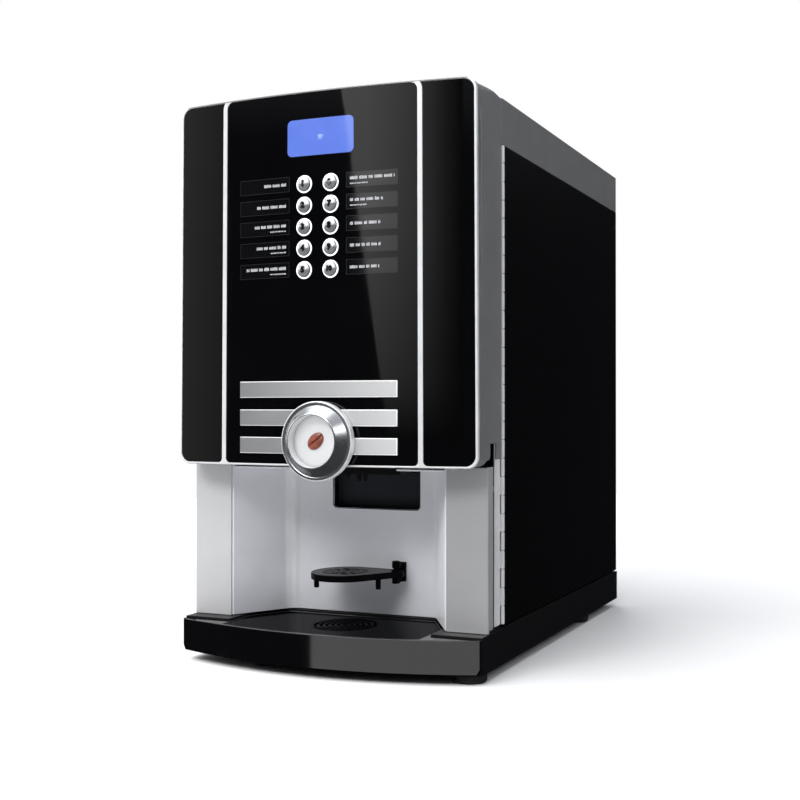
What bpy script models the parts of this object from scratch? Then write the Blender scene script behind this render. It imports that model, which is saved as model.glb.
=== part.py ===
"""Table-top hot coffee vending machine.

Frame: +X is the user's right, the front faces -Y, +Z is up, z = 0 under the feet.
Plan positions are written as x and "depth", the distance behind the vertical side
edges of the door; SHIFT_Y then centres the whole machine on the origin.
"""
import math

import bmesh
import bpy
from mathutils import Matrix, Vector

# ---- overall sizes ----
HALF_W = 0.200          # half width of the cabinet
DEPTH = 0.580           # door side edge to rear panel
BULGE = 0.0141          # how far the middle of the door front stands forward
FRONT_MOST = -0.0362    # rim of the medallion
REAR_MOST = 0.592       # water inlet
SHIFT_Y = -(FRONT_MOST + REAR_MOST) / 2
FOOT_H = 0.0102
FOOT_R = 0.0195
BASE_LOW, BASE_TOP = 0.0105, 0.0535
SIDE_LOW, SIDE_TOP = 0.0560, 0.6250
TOP_H = 0.6800
PANEL_FRONT = 0.0786    # front edge of the side panels, behind the hinge barrel
TOP_FRONT = 0.0735      # front edge of the top frame, above the hinge
GAP = 0.0003
# ---- door ----
DOOR_LOW, DOOR_TOP = 0.2446, 0.6860
FRAME_DEEP = 0.0100
RIM_LEFT, RIM_RIGHT, RIM_TOP, RIM_LOW = 0.0014, 0.0028, 0.0010, 0.0030
PANEL_R = 0.0122
STRIP_LEFT, STRIP_RIGHT, STRIP_HALF = -0.1310, 0.1327, 0.0030
DOOR_BACK = 0.0728
HINGE = (0.2000, 0.0757)
BARREL_R, PIN_R = 0.0024, 0.0010
# ---- keypad ----
BUTTON_X = (-0.0157, 0.0195)
BUTTON_TOP, BUTTON_PITCH, BUTTON_ROWS = 0.5765, 0.0253, 5
BUTTON_R, GUIDE_R = 0.0086, 0.0108
# ---- medallion ----
MEDAL = (0.0068, 0.2745)
MEDAL_BACK = -BULGE - 0.0026
MEDAL_R = 0.0465
# ---- niche ----
COL_FRONT = 0.0310
COL_INNER = 0.1468
COL_LOW = 0.0540
NICHE_BACK = 0.1050
NICHE_HALF_FRONT, NICHE_HALF_BACK = 0.1445, 0.1010
WINDOW = (-0.0420, 0.0790, 0.1865, 0.2960)
SHELF_PIVOT = (0.0540, 0.0880)
SHELF_MID, SHELF_R = (-0.0015, 0.0604), 0.0418
# ---- drip tray ----
TRAY_TOP, TRAY_LOW = 0.0515, 0.0125
TRAY_HALF = 0.1355
GRID_MID = (0.0100, 0.0400)
# ---- top lid ----
LID = (0.1925, 0.0905, 0.5595, 0.6768, 0.6797)

for old in list(bpy.data.objects):
    bpy.data.objects.remove(old, do_unlink=True)


def bulge(x):
    """Depth of the convex door front at x."""
    return -BULGE * (1.0 - (x / HALF_W) ** 2)


def tray_front(x):
    """Depth of the curved front of the drip tray at x."""
    return 0.0060 - 0.0360 * (1.0 - (x / HALF_W) ** 2)


MATERIALS = {}


def material(name, colour, rough, metal=0.0):
    if name not in MATERIALS:
        made = bpy.data.materials.new(name)
        made.use_nodes = True
        shader = made.node_tree.nodes["Principled BSDF"]
        shader.inputs["Base Color"].default_value = (*colour, 1.0)
        shader.inputs["Roughness"].default_value = rough
        shader.inputs["Metallic"].default_value = metal
        made.diffuse_color = (*colour, 1.0)
        MATERIALS[name] = made
    return MATERIALS[name]


def gloss_black():
    return material("gloss_black", (0.006, 0.006, 0.007), 0.12)


def satin_black():
    return material("satin_black", (0.012, 0.012, 0.013), 0.42)


def silver():
    return material("silver_paint", (0.62, 0.63, 0.65), 0.32, 0.8)


def steel():
    return material("brushed_steel", (0.58, 0.59, 0.60), 0.34, 1.0)


def grey_metal():
    return material("grey_metallic", (0.20, 0.21, 0.22), 0.38, 0.6)


def chrome():
    return material("polished_metal", (0.70, 0.71, 0.72), 0.14, 1.0)


def white_light():
    return material("white_diffuser", (0.90, 0.93, 0.97), 0.30)


def clear_blue():
    return material("display_glass", (0.10, 0.22, 0.80), 0.10)


def plastic(shade=0.10):
    return material("inner_plastic_%02d" % round(100 * shade), (shade,) * 3, 0.5)


def rubber():
    return material("rubber", (0.02, 0.02, 0.02), 0.8)


def finish(name, bm, mat, origin=(0.0, 0.0, 0.0), smooth=35):
    """Makes an object whose origin is at the given point (x, depth, z)."""
    bmesh.ops.recalc_face_normals(bm, faces=bm.faces)
    point = Vector(origin)
    bmesh.ops.translate(bm, vec=-point, verts=bm.verts)
    mesh = bpy.data.meshes.new(name)
    bm.to_mesh(mesh)
    bm.free()
    mesh.materials.append(mat)
    mesh.shade_smooth()
    mesh.set_sharp_from_angle(angle=math.radians(smooth))
    made = bpy.data.objects.new(name, mesh)
    made.location = point + Vector((0.0, SHIFT_Y, 0.0))
    bpy.context.scene.collection.objects.link(made)
    return made


COUNT = [0]


def tool(bm):
    """A helper solid that cuts or joins another piece; it isn't a piece itself."""
    COUNT[0] += 1
    made = finish("tool_%03d" % COUNT[0], bm, satin_black())
    made.hide_render = True
    made.display_type = "WIRE"
    return made


def combine(obj, bm, how):
    helper = tool(bm)
    mod = obj.modifiers.new("%s_%s" % (how.lower(), helper.name), "BOOLEAN")
    mod.operation = how
    mod.solver = "EXACT"
    mod.object = helper
    return obj


def cut(obj, *solids):
    for bm in solids:
        combine(obj, bm, "DIFFERENCE")
    return obj


def join(obj, *solids):
    for bm in solids:
        combine(obj, bm, "UNION")
    return obj


def merge(*solids):
    """Puts solids that don't touch each other into one mesh."""
    out = bmesh.new()
    for bm in solids:
        mesh = bpy.data.meshes.new("part")
        bm.to_mesh(mesh)
        bm.free()
        out.from_mesh(mesh)
        bpy.data.meshes.remove(mesh)
    return out


def prism(points, axis, low, high):
    """A flat outline extruded along X, Y or Z."""
    bm = bmesh.new()

    def at(p, q, r):
        return {"X": (r, p, q), "Y": (p, r, q), "Z": (p, q, r)}[axis]

    ring = [bm.verts.new(at(p, q, low)) for p, q in points]
    face = bm.faces.new(ring)
    grown = bmesh.ops.extrude_face_region(bm, geom=[face])
    moved = [g for g in grown["geom"] if isinstance(g, bmesh.types.BMVert)]
    bmesh.ops.translate(bm, vec=Vector(at(0.0, 0.0, high - low)), verts=moved)
    bmesh.ops.recalc_face_normals(bm, faces=bm.faces)
    return bm


def box(x0, x1, y0, y1, z0, z1):
    return prism([(x0, y0), (x1, y0), (x1, y1), (x0, y1)], "Z", z0, z1)


def rounded(a0, a1, b0, b1, r, steps=4):
    """Outline of a rectangle with round corners."""
    points = []
    corners = ((a1 - r, b1 - r, 0), (a0 + r, b1 - r, 90), (a0 + r, b0 + r, 180), (a1 - r, b0 + r, 270))
    for ca, cb, start in corners:
        for k in range(steps + 1):
            t = math.radians(start + 90.0 * k / steps)
            points.append((ca + r * math.cos(t), cb + r * math.sin(t)))
    return points


def circle(ca, cb, r, n):
    return [(ca + r * math.cos(2 * math.pi * k / n), cb + r * math.sin(2 * math.pi * k / n)) for k in range(n)]


def rod(axis, ca, cb, r, low, high, n=16):
    return prism(circle(ca, cb, r, n), axis, low, high)


def lathe(profile, axis, centre, n=24):
    """Turns a profile of (radius, height) pairs about an axis through centre; height runs
    along +Z, or along -Y (towards the user) for axis "Y"."""
    bm = bmesh.new()
    cx, cy, cz = centre

    def at(r, h, t):
        if axis == "Z":
            return (cx + r * math.cos(t), cy + r * math.sin(t), cz + h)
        if axis == "X":
            return (cx + h, cy + r * math.cos(t), cz + r * math.sin(t))
        return (cx + r * math.cos(t), cy - h, cz + r * math.sin(t))

    rings = []
    for r, h in profile:
        if r < 1e-7:
            rings.append([bm.verts.new(at(0.0, h, 0.0))])
        else:
            rings.append([bm.verts.new(at(r, h, 2 * math.pi * k / n)) for k in range(n)])
    pairs = list(zip(rings, rings[1:]))
    if profile[0][0] > 1e-7:
        pairs.append((rings[-1], rings[0]))
    for low, high in pairs:
        for k in range(n):
            j = (k + 1) % n
            a, b = low[k % len(low)], low[j % len(low)]
            c, d = high[j % len(high)], high[k % len(high)]
            corners = [a]
            for v in (b, c, d):
                if v not in corners:
                    corners.append(v)
            if len(corners) > 2:
                bm.faces.new(corners)
    bmesh.ops.recalc_face_normals(bm, faces=bm.faces)
    return bm


def slab(x0, x1, z0, z1, front, back, r0=0.0, r1=0.0, step=0.016):
    """A sheet that follows the convex door front. front and back give depth at x; r0 and
    r1 are the corner radii at the x0 and the x1 end."""
    stations = set()
    count = max(2, round((x1 - x0 - r0 - r1) / step))
    for k in range(count + 1):
        stations.add(x0 + r0 + (x1 - x0 - r0 - r1) * k / count)
    for k in range(5):
        t = math.radians(90.0 * k / 5)
        if r0:
            stations.add(x0 + r0 - r0 * math.cos(t))
        if r1:
            stations.add(x1 - r1 + r1 * math.cos(t))
    stations = sorted(stations)
    bm = bmesh.new()
    loops = []
    for x in stations:
        inset = 0.0
        if r0 and x < x0 + r0:
            inset = r0 - math.sqrt(max(0.0, r0 ** 2 - (x0 + r0 - x) ** 2))
        if r1 and x > x1 - r1:
            inset = r1 - math.sqrt(max(0.0, r1 ** 2 - (x - x1 + r1) ** 2))
        low, high = z0 + inset, z1 - inset
        loops.append([bm.verts.new(p) for p in (
            (x, front(x), low), (x, front(x), high), (x, back(x), high), (x, back(x), low))])
    for one, two in zip(loops, loops[1:]):
        for k in range(4):
            j = (k + 1) % 4
            bm.faces.new((one[k], one[j], two[j], two[k]))
    bm.faces.new(loops[0])
    bm.faces.new(loops[-1])
    bmesh.ops.recalc_face_normals(bm, faces=bm.faces)
    return bm


def offset(d):
    return lambda x: bulge(x) + d


# ================= base, feet and cabinet =================
base = finish("base", prism([(-HALF_W, 0.0120), (-TRAY_HALF - 0.0015, 0.0120), (-TRAY_HALF - 0.0015, 0.0040),
                             (TRAY_HALF + 0.0015, 0.0040), (TRAY_HALF + 0.0015, 0.0120), (HALF_W, 0.0120),
                             (HALF_W, DEPTH), (-HALF_W, DEPTH)], "Z", BASE_LOW, BASE_TOP), satin_black())
cut(base,
    box(-TRAY_HALF - 0.0010, TRAY_HALF + 0.0010, -0.05, 0.0995, 0.0185, 0.08),
    box(-TRAY_HALF - 0.0030, TRAY_HALF + 0.0030, -0.05, 0.0118, 0.0185, 0.08),
    box(-0.150, 0.150, 0.115, 0.560, 0.0, 0.0505))

FEET = {"front_left": (-0.0880, 0.0260), "front_right": (0.1790, 0.0280),
        "rear_left": (-0.1790, 0.4250), "rear_right": (0.1790, 0.4250)}
for where, (fx, fy) in FEET.items():
    finish("foot_" + where, lathe([(0.0, 0.0), (FOOT_R - 0.002, 0.0), (FOOT_R, 0.0015), (FOOT_R, FOOT_H), (0.0, FOOT_H)],
                                  "Z", (fx, fy, 0.0), 24), rubber())

finish("side_panel_left", box(-0.1995, -0.1975, PANEL_FRONT, 0.5775, SIDE_LOW, SIDE_TOP), gloss_black())
finish("side_panel_right", box(0.1975, 0.1995, PANEL_FRONT, 0.5775, SIDE_LOW, SIDE_TOP), gloss_black())
rear = finish("rear_panel", box(-0.1970, 0.1970, 0.5780, DEPTH, SIDE_LOW, SIDE_TOP), satin_black())
cut(rear, box(-0.1535, -0.0965, 0.56, 0.60, 0.0735, 0.1065), rod("Y", 0.120, 0.095, 0.0112, 0.56, 0.60, 20))

top = finish("top_frame", prism(rounded(-0.1995, 0.1995, TOP_FRONT, DEPTH, 0.004), "Z", SIDE_TOP + GAP, TOP_H),
             grey_metal())
cut(top,
    box(-0.1975, 0.1975, TOP_FRONT + 0.002, DEPTH - 0.002, 0.60, 0.6735),
    box(-LID[0] - 0.0004, LID[0] + 0.0004, LID[1] - 0.0004, LID[2] + 0.0004, 0.6765, 0.70),
    box(-0.1830, 0.1830, 0.1000, 0.5500, 0.60, 0.70))
finish("top_lid", box(-LID[0], LID[0], LID[1], LID[2], LID[3], LID[4]), grey_metal(), (0.0, LID[2], LID[4]))

finish("equipment_plate", box(-0.1940, 0.1940, 0.3000, 0.3020, 0.0570, 0.6200), steel())

# ================= machinery behind the door =================
head = finish("dispense_head", prism(rounded(-0.0350, 0.0720, 0.0600, 0.1180, 0.006), "Z", 0.2320, 0.2900), satin_black())
join(head,
     box(-0.0300, 0.0200, 0.1150, 0.2997, 0.2550, 0.2850),
     merge(*[lathe([(0.0, 0.0), (0.0022, 0.0), (0.0034, 0.012), (0.0, 0.012)], "Z", (x, 0.0750, z), 12)
             for x, z in ((-0.0060, 0.2255), (0.0094, 0.2225), (0.0182, 0.2225))]))
brew = finish("brew_group", prism(rounded(0.0300, 0.1600, 0.1500, 0.2995, 0.008), "Z", 0.2150, 0.3300), plastic(0.10))
join(brew, rod("Z", 0.0950, 0.2200, 0.0380, 0.3200, 0.3900, 24))
grinder = finish("grinder", lathe([(0.0, 0.0), (0.020, 0.0), (0.042, 0.020), (0.042, 0.080), (0.034, 0.098),
                                   (0.034, 0.118), (0.0, 0.118)], "Z", (0.0950, 0.2050, 0.4000), 24), plastic(0.06))


def tub(x0, x1, y0, y1, z0, z1, wall, taper=0.0):
    """An open-topped container: the outer and the inner solid."""
    def frustum(inset, low, high):
        bm = bmesh.new()
        rings = []
        for z, t in ((low, taper), (high, 0.0)):
            a0, a1, b0, b1 = x0 + inset + t, x1 - inset - t, y0 + inset + t, y1 - inset - t
            rings.append([bm.verts.new(p) for p in ((a0, b0, z), (a1, b0, z), (a1, b1, z), (a0, b1, z))])
        bm.faces.new(rings[0])
        bm.faces.new(rings[1])
        for k in range(4):
            j = (k + 1) % 4
            bm.faces.new((rings[0][k], rings[0][j], rings[1][j], rings[1][k]))
        bmesh.ops.recalc_face_normals(bm, faces=bm.faces)
        return bm
    return frustum(0.0, z0, z1), frustum(wall, z0 + wall, z1 + 0.01)


outer, inner = tub(0.0150, 0.1750, 0.1250, 0.2850, 0.5200, 0.6600, 0.0025, 0.035)
hopper = finish("bean_hopper", outer, material("smoked_clear", (0.10, 0.08, 0.07), 0.15))
cut(hopper, inner, rod("Z", 0.0950, 0.2050, 0.0200, 0.50, 0.56, 20))
outer, inner = tub(-0.1650, -0.0450, 0.1250, 0.2850, 0.4700, 0.6500, 0.0025)
canister = finish("product_canister", outer, material("canister_clear", (0.55, 0.56, 0.58), 0.25))
cut(canister, inner)
outer, inner = tub(0.0100, 0.1700, 0.1250, 0.2900, 0.0560, 0.1950, 0.0025, 0.004)
waste = finish("waste_bin", outer, plastic(0.05))
cut(waste, inner)
bowl = finish("mixer_bowl", lathe([(0.0, 0.0), (0.020, 0.0), (0.020, 0.035), (0.045, 0.072), (0.045, 0.085),
                                   (0.043, 0.085), (0.043, 0.073), (0.018, 0.036), (0.018, 0.003), (0.0, 0.003)],
                                  "Z", (-0.1050, 0.2050, 0.3600), 24), material("bowl_plastic", (0.7, 0.7, 0.7), 0.35))
rotor = finish("whipper_rotor", rod("Z", -0.1050, 0.2050, 0.0045, 0.3640, 0.3860, 12), plastic(0.85),
               (-0.1050, 0.2050, 0.3640))
join(rotor, box(-0.1190, -0.0910, 0.2038, 0.2062, 0.3660, 0.3760), box(-0.1062, -0.1038, 0.1910, 0.2190, 0.3660, 0.3760))
finish("boiler", lathe([(0.006, 0.0), (0.040, 0.0), (0.055, 0.015), (0.055, 0.165), (0.040, 0.180), (0.006, 0.180),
                        (0.006, 0.177), (0.039, 0.177), (0.052, 0.164), (0.052, 0.016), (0.039, 0.003), (0.006, 0.003)],
                       "Z", (-0.1000, 0.3900, 0.3000), 20), steel())
pump = finish("water_pump", box(0.0600, 0.1300, 0.3400, 0.3900, 0.0560, 0.1060), plastic(0.20))
join(pump, rod("X", 0.3650, 0.0850, 0.0180, 0.0200, 0.0620, 16))
finish("control_board", box(-0.1600, 0.1600, 0.5300, 0.5316, 0.3000, 0.5800), material("board_green", (0.02, 0.16, 0.07), 0.45))

inlet = finish("mains_inlet", box(-0.1530, -0.0970, 0.5450, 0.5815, 0.0740, 0.1060), satin_black())
cut(inlet, box(-0.1490, -0.1250, 0.5600, 0.60, 0.0800, 0.1000), box(-0.1160, -0.1030, 0.5640, 0.60, 0.0795, 0.1005))
join(inlet, merge(*[box(x - 0.001, x + 0.001, 0.5580, 0.5740, z - 0.002, z + 0.002)
                    for x, z in ((-0.1430, 0.0870), (-0.1370, 0.0930), (-0.1310, 0.0870))]))
finish("power_switch", prism([(0.5660, 0.0900), (0.5735, 0.0812), (0.5800, 0.0812), (0.5815, 0.0900),
                              (0.5800, 0.0988), (0.5735, 0.0988)], "X", -0.1155, -0.1035),
       material("switch_black", (0.02, 0.02, 0.02), 0.3), (-0.1095, 0.5735, 0.0900))
finish("water_inlet", lathe([(0.0045, 0.0), (0.0108, 0.0), (0.0108, 0.0105), (0.0165, 0.0105), (0.0165, 0.0140),
                             (0.0130, 0.0140), (0.0130, 0.0220), (0.0065, 0.0220), (0.0045, 0.0180)],
                            "Z", (0.0, 0.0, 0.0), 16), material("brass", (0.60, 0.45, 0.18), 0.3, 1.0))
water = bpy.data.objects["water_inlet"]
water.rotation_euler = (math.radians(-90.0), 0.0, 0.0)
water.location = (0.120, SHIFT_Y + REAR_MOST - 0.0220, 0.095)

# ================= piano hinge =================
SEGMENTS = 12
HINGE_LOW, HINGE_HIGH = 0.0580, 0.6240
PITCH = (HINGE_HIGH - HINGE_LOW) / SEGMENTS
HX, HY = HINGE


def spans(first):
    return [(HINGE_LOW + k * PITCH + 0.0002, HINGE_LOW + (k + 1) * PITCH - 0.0002) for k in range(first, SEGMENTS, 2)]


leaf = finish("hinge_leaf_cabinet", box(0.1960, 0.1972, 0.0768, 0.0950, HINGE_LOW, HINGE_HIGH), steel())
join(leaf,
     merge(*[box(0.1962, 0.1982, 0.0750, 0.0783, a, b) for a, b in spans(0)]),
     merge(*[rod("Z", HX, HY, BARREL_R, a, b, 12) for a, b in spans(0)]),
     rod("Z", HX, HY, PIN_R, HINGE_LOW + 0.001, HINGE_HIGH - 0.001, 8))
leaf = finish("hinge_leaf_door", box(0.1968, 0.1980, 0.0560, 0.0722, HINGE_LOW, HINGE_HIGH), steel(), (HX, HY, 0.30))
join(leaf,
     merge(*[box(0.1970, 0.1982, 0.0715, 0.0764, a, b) for a, b in spans(1)]),
     merge(*[rod("Z", HX, HY, BARREL_R, a, b, 12) for a, b in spans(1)]))
cut(leaf, rod("Z", HX, HY, PIN_R + 0.0004, 0.0, 0.70, 8))

# ================= door: frame, shell and panels =================
AXIS = (HX, HY, 0.30)
frame = finish("door_frame", slab(-HALF_W, HALF_W, DOOR_LOW, DOOR_TOP, offset(0.0), offset(FRAME_DEEP), 0.0135, 0.0135),
               silver(), AXIS)
LOW, HIGH = DOOR_LOW + RIM_LOW, DOOR_TOP - RIM_TOP
OPENINGS = {"left": (-HALF_W + RIM_LEFT, STRIP_LEFT - STRIP_HALF, PANEL_R, 0.0055),
            "center": (STRIP_LEFT + STRIP_HALF, STRIP_RIGHT - STRIP_HALF, 0.0055, 0.0055),
            "right": (STRIP_RIGHT + STRIP_HALF, HALF_W - RIM_RIGHT, 0.0055, PANEL_R)}
cut(frame, merge(*[slab(a, b, LOW, HIGH, offset(-0.01), offset(0.02), r0, r1) for a, b, r0, r1 in OPENINGS.values()]))
for side, (a, b, r0, r1) in OPENINGS.items():
    panel = finish("front_panel_" + side, slab(a + GAP, b - GAP, LOW + GAP, HIGH - GAP, offset(0.0002), offset(0.0030), r0, r1),
                   gloss_black(), AXIS)
BUTTONS = [(x, BUTTON_TOP - k * BUTTON_PITCH) for x in BUTTON_X for k in range(BUTTON_ROWS)]
DISPLAY = (-0.0391, 0.0493, 0.6100, 0.6529)
center = bpy.data.objects["front_panel_center"]
cut(center,
    slab(DISPLAY[0] - GAP, DISPLAY[1] + GAP, DISPLAY[2] - GAP, DISPLAY[3] + GAP, offset(-0.01), offset(0.02), 0.004, 0.004, 0.03),
    merge(*[rod("Y", x, z, GUIDE_R + GAP, -0.03, 0.01, 20) for x, z in BUTTONS]))
finish("display_lens", slab(*DISPLAY, offset(0.0005), offset(0.0030), 0.004, 0.004), clear_blue(), AXIS)

shell = finish("door_shell", slab(-HALF_W, HALF_W, DOOR_LOW + 0.001, DOOR_TOP - 0.0015, offset(FRAME_DEEP + 0.0004),
                                  lambda x: DOOR_BACK, 0.0135, 0.0135), grey_metal(), AXIS)
cut(shell,
    prism(rounded(-HALF_W + 0.0015, HALF_W - 0.0015, DOOR_LOW + 0.0030, DOOR_TOP - 0.0030, 0.0122), "Y", -0.05, 0.10),
    box(-HALF_W + 0.0015, HALF_W - 0.0015, COL_FRONT - 0.0015, 0.10, 0.20, DOOR_LOW + 0.0180),
    box(0.1950, 0.2100, 0.0370, 0.0556, 0.20, 0.2720),
    rod("X", 0.0450, 0.4000, 0.0078, -0.21, -0.19, 16))
finish("door_liner", prism(rounded(-0.1830, 0.1955, 0.3000, 0.6805, 0.013), "Y", 0.0705, 0.0720), plastic(0.12), AXIS)

guide = finish("button_light_guide", box(-0.0331, 0.0369, -BULGE + 0.0036, -BULGE + 0.0056, 0.4610, 0.5920), white_light(), AXIS)
join(guide, merge(*[rod("Y", x, z, GUIDE_R, -BULGE + 0.0003, -BULGE + 0.0046, 20) for x, z in BUTTONS]))
cut(guide, merge(*[rod("Y", x, z, BUTTON_R + GAP, -0.03, 0.01, 16) for x, z in BUTTONS]))
for k, (x, z) in enumerate(BUTTONS):
    finish("button_%02d" % (k + 1),
           lathe([(0.0, -0.0085), (BUTTON_R, -0.0085), (BUTTON_R, 0.0018), (0.0076, 0.0030), (0.0045, 0.0038), (0.0, 0.0041)],
                 "Y", (x, -BULGE, z), 16), chrome(), (x, -BULGE, z))
finish("keypad_board", box(-0.0600, 0.0640, -BULGE + 0.0115, -BULGE + 0.0131, 0.4550, 0.6600),
       material("board_green", (0.02, 0.16, 0.07), 0.45), AXIS)

BARS = ((0.3255, 0.3446), (0.2921, 0.3111), (0.2592, 0.2784))
for k, (a, b) in enumerate(BARS):
    finish("trim_bar_%d" % (k + 1), slab(-0.1050, 0.1050, a, b, offset(-0.0021), offset(-0.0003)), steel(), AXIS)
mx, mz = MEDAL
finish("medallion_ring", lathe([(0.0, 0.0), (MEDAL_R, 0.0), (MEDAL_R, 0.0074), (0.0455, 0.0082), (0.0418, 0.0084),
                                (0.0324, 0.0186), (0.0316, 0.0195), (0.0306, 0.0195), (0.0302, 0.0190), (0.0302, 0.0056),
                                (0.0, 0.0056)], "Y", (mx, MEDAL_BACK, mz), 40), chrome(), AXIS)
finish("medallion_lens", lathe([(0.0, 0.0059), (0.0299, 0.0059), (0.0299, 0.0068), (0.0280, 0.0076), (0.0, 0.0080)],
                               "Y", (mx, MEDAL_BACK, mz), 40), white_light(), AXIS)
bean = lathe([(0.0, 0.0), (1.0, 0.0), (0.90, 0.45), (0.60, 0.85), (0.0, 1.0)], "Y", (0.0, 0.0, 0.0), 24)
bmesh.ops.scale(bean, vec=Vector((0.0084, 0.0036, 0.0120)), verts=bean.verts)
bmesh.ops.rotate(bean, cent=Vector(), matrix=Matrix.Rotation(math.radians(48.0), 3, "Y"), verts=bean.verts)
bmesh.ops.translate(bean, vec=Vector((mx, MEDAL_BACK - 0.0082, mz)), verts=bean.verts)
finish("bean_emblem", bean, material("bean_red_brown", (0.20, 0.035, 0.020), 0.45), AXIS)

# ================= door: columns, niche, lock =================
COL_BACK = COL_FRONT + 0.0020
finish("column_right", prism([(COL_INNER, COL_FRONT), (HALF_W, COL_FRONT), (HALF_W, COL_BACK + 0.0010),
                              (0.1965, COL_BACK + 0.0010), (0.1965, 0.0540), (0.1945, 0.0540), (0.1945, COL_BACK),
                              (COL_INNER, COL_BACK)], "Z", COL_LOW, DOOR_LOW - 0.0002), steel(), AXIS)
finish("column_left", prism([(-COL_INNER, COL_FRONT), (-HALF_W, COL_FRONT), (-HALF_W, DOOR_BACK), (-0.1985, DOOR_BACK),
                             (-0.1985, COL_BACK), (-COL_INNER, COL_BACK)], "Z", COL_LOW, DOOR_LOW - 0.0002), steel(), AXIS)


def niche_plan(t):
    """Outer outline of the niche wall, t behind its visible face, with round back corners."""
    front, back, r = NICHE_HALF_FRONT, NICHE_HALF_BACK, 0.012
    y0, y1 = COL_BACK + 0.0003, NICHE_BACK - 0.0015
    run = math.hypot(front - back, y1 - y0)
    ux, uy = (front - back) / run, (y1 - y0) / run
    half = []
    for k in range(5):
        s = k / 4
        ax, ay = back + ux * r * (1 - s), y1 - uy * r * (1 - s)
        bx, by = back - r * s, y1
        half.append((ax * (1 - s) + bx * s, ay * (1 - s) + by * s))
    side = [(front, y0)] + half
    nx, ny = uy, ux
    grown = []
    for k, (x, y) in enumerate(side):
        s = 0.0 if k == 0 else (k - 1) / 4
        dx, dy = nx * (1 - s), ny * (1 - s) + s
        size = math.hypot(dx, dy)
        grown.append((x + t * dx / size, y + t * dy / size))
    return grown


face_line, back_line = niche_plan(0.0), niche_plan(0.0015)
path = face_line + [(-x, y) for x, y in reversed(face_line)]
behind = back_line + [(-x, y) for x, y in reversed(back_line)]
niche = finish("niche_liner", prism(path + list(reversed(behind)), "Z", COL_LOW + 0.0005, 0.2990), steel(), AXIS)
edge_y = COL_FRONT + 0.0030
join(niche, merge(*[prism([(sign * 0.1442, COL_BACK + 0.0003), (sign * 0.1505, COL_BACK + 0.0003),
                           (sign * 0.1505, COL_BACK + 0.0015), (sign * 0.1442, COL_BACK + 0.0015)],
                          "Z", COL_LOW + 0.0005, DOOR_LOW - 0.0004) for sign in (1.0, -1.0)]))
for sign, x_in in ((1.0, 0.0815), (-1.0, 0.0450)):
    join(niche, prism([(sign * x_in, edge_y), (sign * 0.1446, edge_y), (sign * 0.1015, 0.1040), (sign * x_in, 0.1040)],
                      "Z", 0.2385, 0.2405))
join(niche, prism([(-0.1015, 0.1042), (-0.1200, 0.0740), (0.1200, 0.0740), (0.1015, 0.1042)], "Z", 0.2975, 0.2990))
cut(niche, prism(rounded(WINDOW[0], WINDOW[1], WINDOW[2], WINDOW[3], 0.0045, 3), "Y", 0.095, 0.12))

SX, SY = SHELF_PIVOT
bracket = finish("shelf_bracket", box(SX - 0.0070, SX + 0.0070, 0.0985, NICHE_BACK - 0.0018, 0.0975, 0.1215),
                 satin_black(), AXIS)
join(bracket,
     merge(box(SX - 0.0045, SX + 0.0045, SY - 0.001, 0.1000, 0.1150, 0.1200),
           box(SX - 0.0045, SX + 0.0045, SY - 0.001, 0.1000, 0.0975, 0.1035)),
     rod("Z", SX, SY, 0.0030, 0.0985, 0.1190, 12),
     merge(rod("Z", SX, SY, 0.0049, 0.1150, 0.1245, 16), rod("Z", SX, SY, 0.0049, 0.0963, 0.1035, 16)))
cx, cy = SHELF_MID


def teardrop(r_mid, r_hub, n=36):
    """Plan of the shelf: a round plate drawn out to its hub with straight sides."""
    along = math.atan2(SY - cy, SX - cx)
    wide = math.acos((r_mid - r_hub) / math.hypot(SX - cx, SY - cy))
    points = []
    for k in range(n + 1):
        t = along + wide + (2 * math.pi - 2 * wide) * k / n
        points.append((cx + r_mid * math.cos(t), cy + r_mid * math.sin(t)))
    for k in range(9):
        t = along - wide + 2 * wide * k / 8
        points.append((SX + r_hub * math.cos(t), SY + r_hub * math.sin(t)))
    return points


shelf = finish("cup_shelf", prism(teardrop(SHELF_R, 0.0098), "Z", 0.1045, 0.1125), satin_black(), (SX, SY, 0.1045))
join(shelf, rod("Z", SX, SY, 0.0058, 0.1045, 0.1140, 16))
cut(shelf, rod("Z", cx, cy, SHELF_R - 0.0065, 0.10, 0.1095, 32), rod("Z", SX, SY, 0.0034, 0.09, 0.13, 12),
    merge(*[box(cx - w, cx + w, cy + d - 0.0016, cy + d + 0.0016, 0.10, 0.12)
            for d, w in ((-0.024, 0.014), (-0.016, 0.020), (-0.008, 0.024), (0.0, 0.025), (0.008, 0.024), (0.016, 0.020),
                         (0.024, 0.014))]))
join(shelf, merge(rod("Z", -0.0350, 0.0485, 0.0032, 0.0925, 0.1060, 10), rod("Z", 0.0435, 0.0610, 0.0032, 0.0925, 0.1060, 10)))

lock = finish("door_lock", lathe([(0.0, 0.0), (0.0090, 0.0), (0.0090, 0.0021), (0.0075, 0.0021), (0.0075, 0.0160),
                                  (0.0, 0.0160)], "X", (-0.2024, 0.0450, 0.4000), 20), chrome(), (-0.2024, 0.0450, 0.4000))
join(lock, box(-0.1895, -0.1870, 0.0400, 0.0860, 0.3950, 0.4050))

# ================= drip tray =================
N = 24
line = [(-HALF_W + 2 * HALF_W * k / N, tray_front(-HALF_W + 2 * HALF_W * k / N)) for k in range(N + 1)]
tray = finish("drip_tray", prism(line + [(HALF_W, 0.0115), (TRAY_HALF, 0.0115), (TRAY_HALF, 0.0985), (-TRAY_HALF, 0.0985),
                                         (-TRAY_HALF, 0.0115), (-HALF_W, 0.0115)], "Z", TRAY_LOW, TRAY_TOP), gloss_black(),
              (0.0, 0.0, TRAY_LOW))


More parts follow.
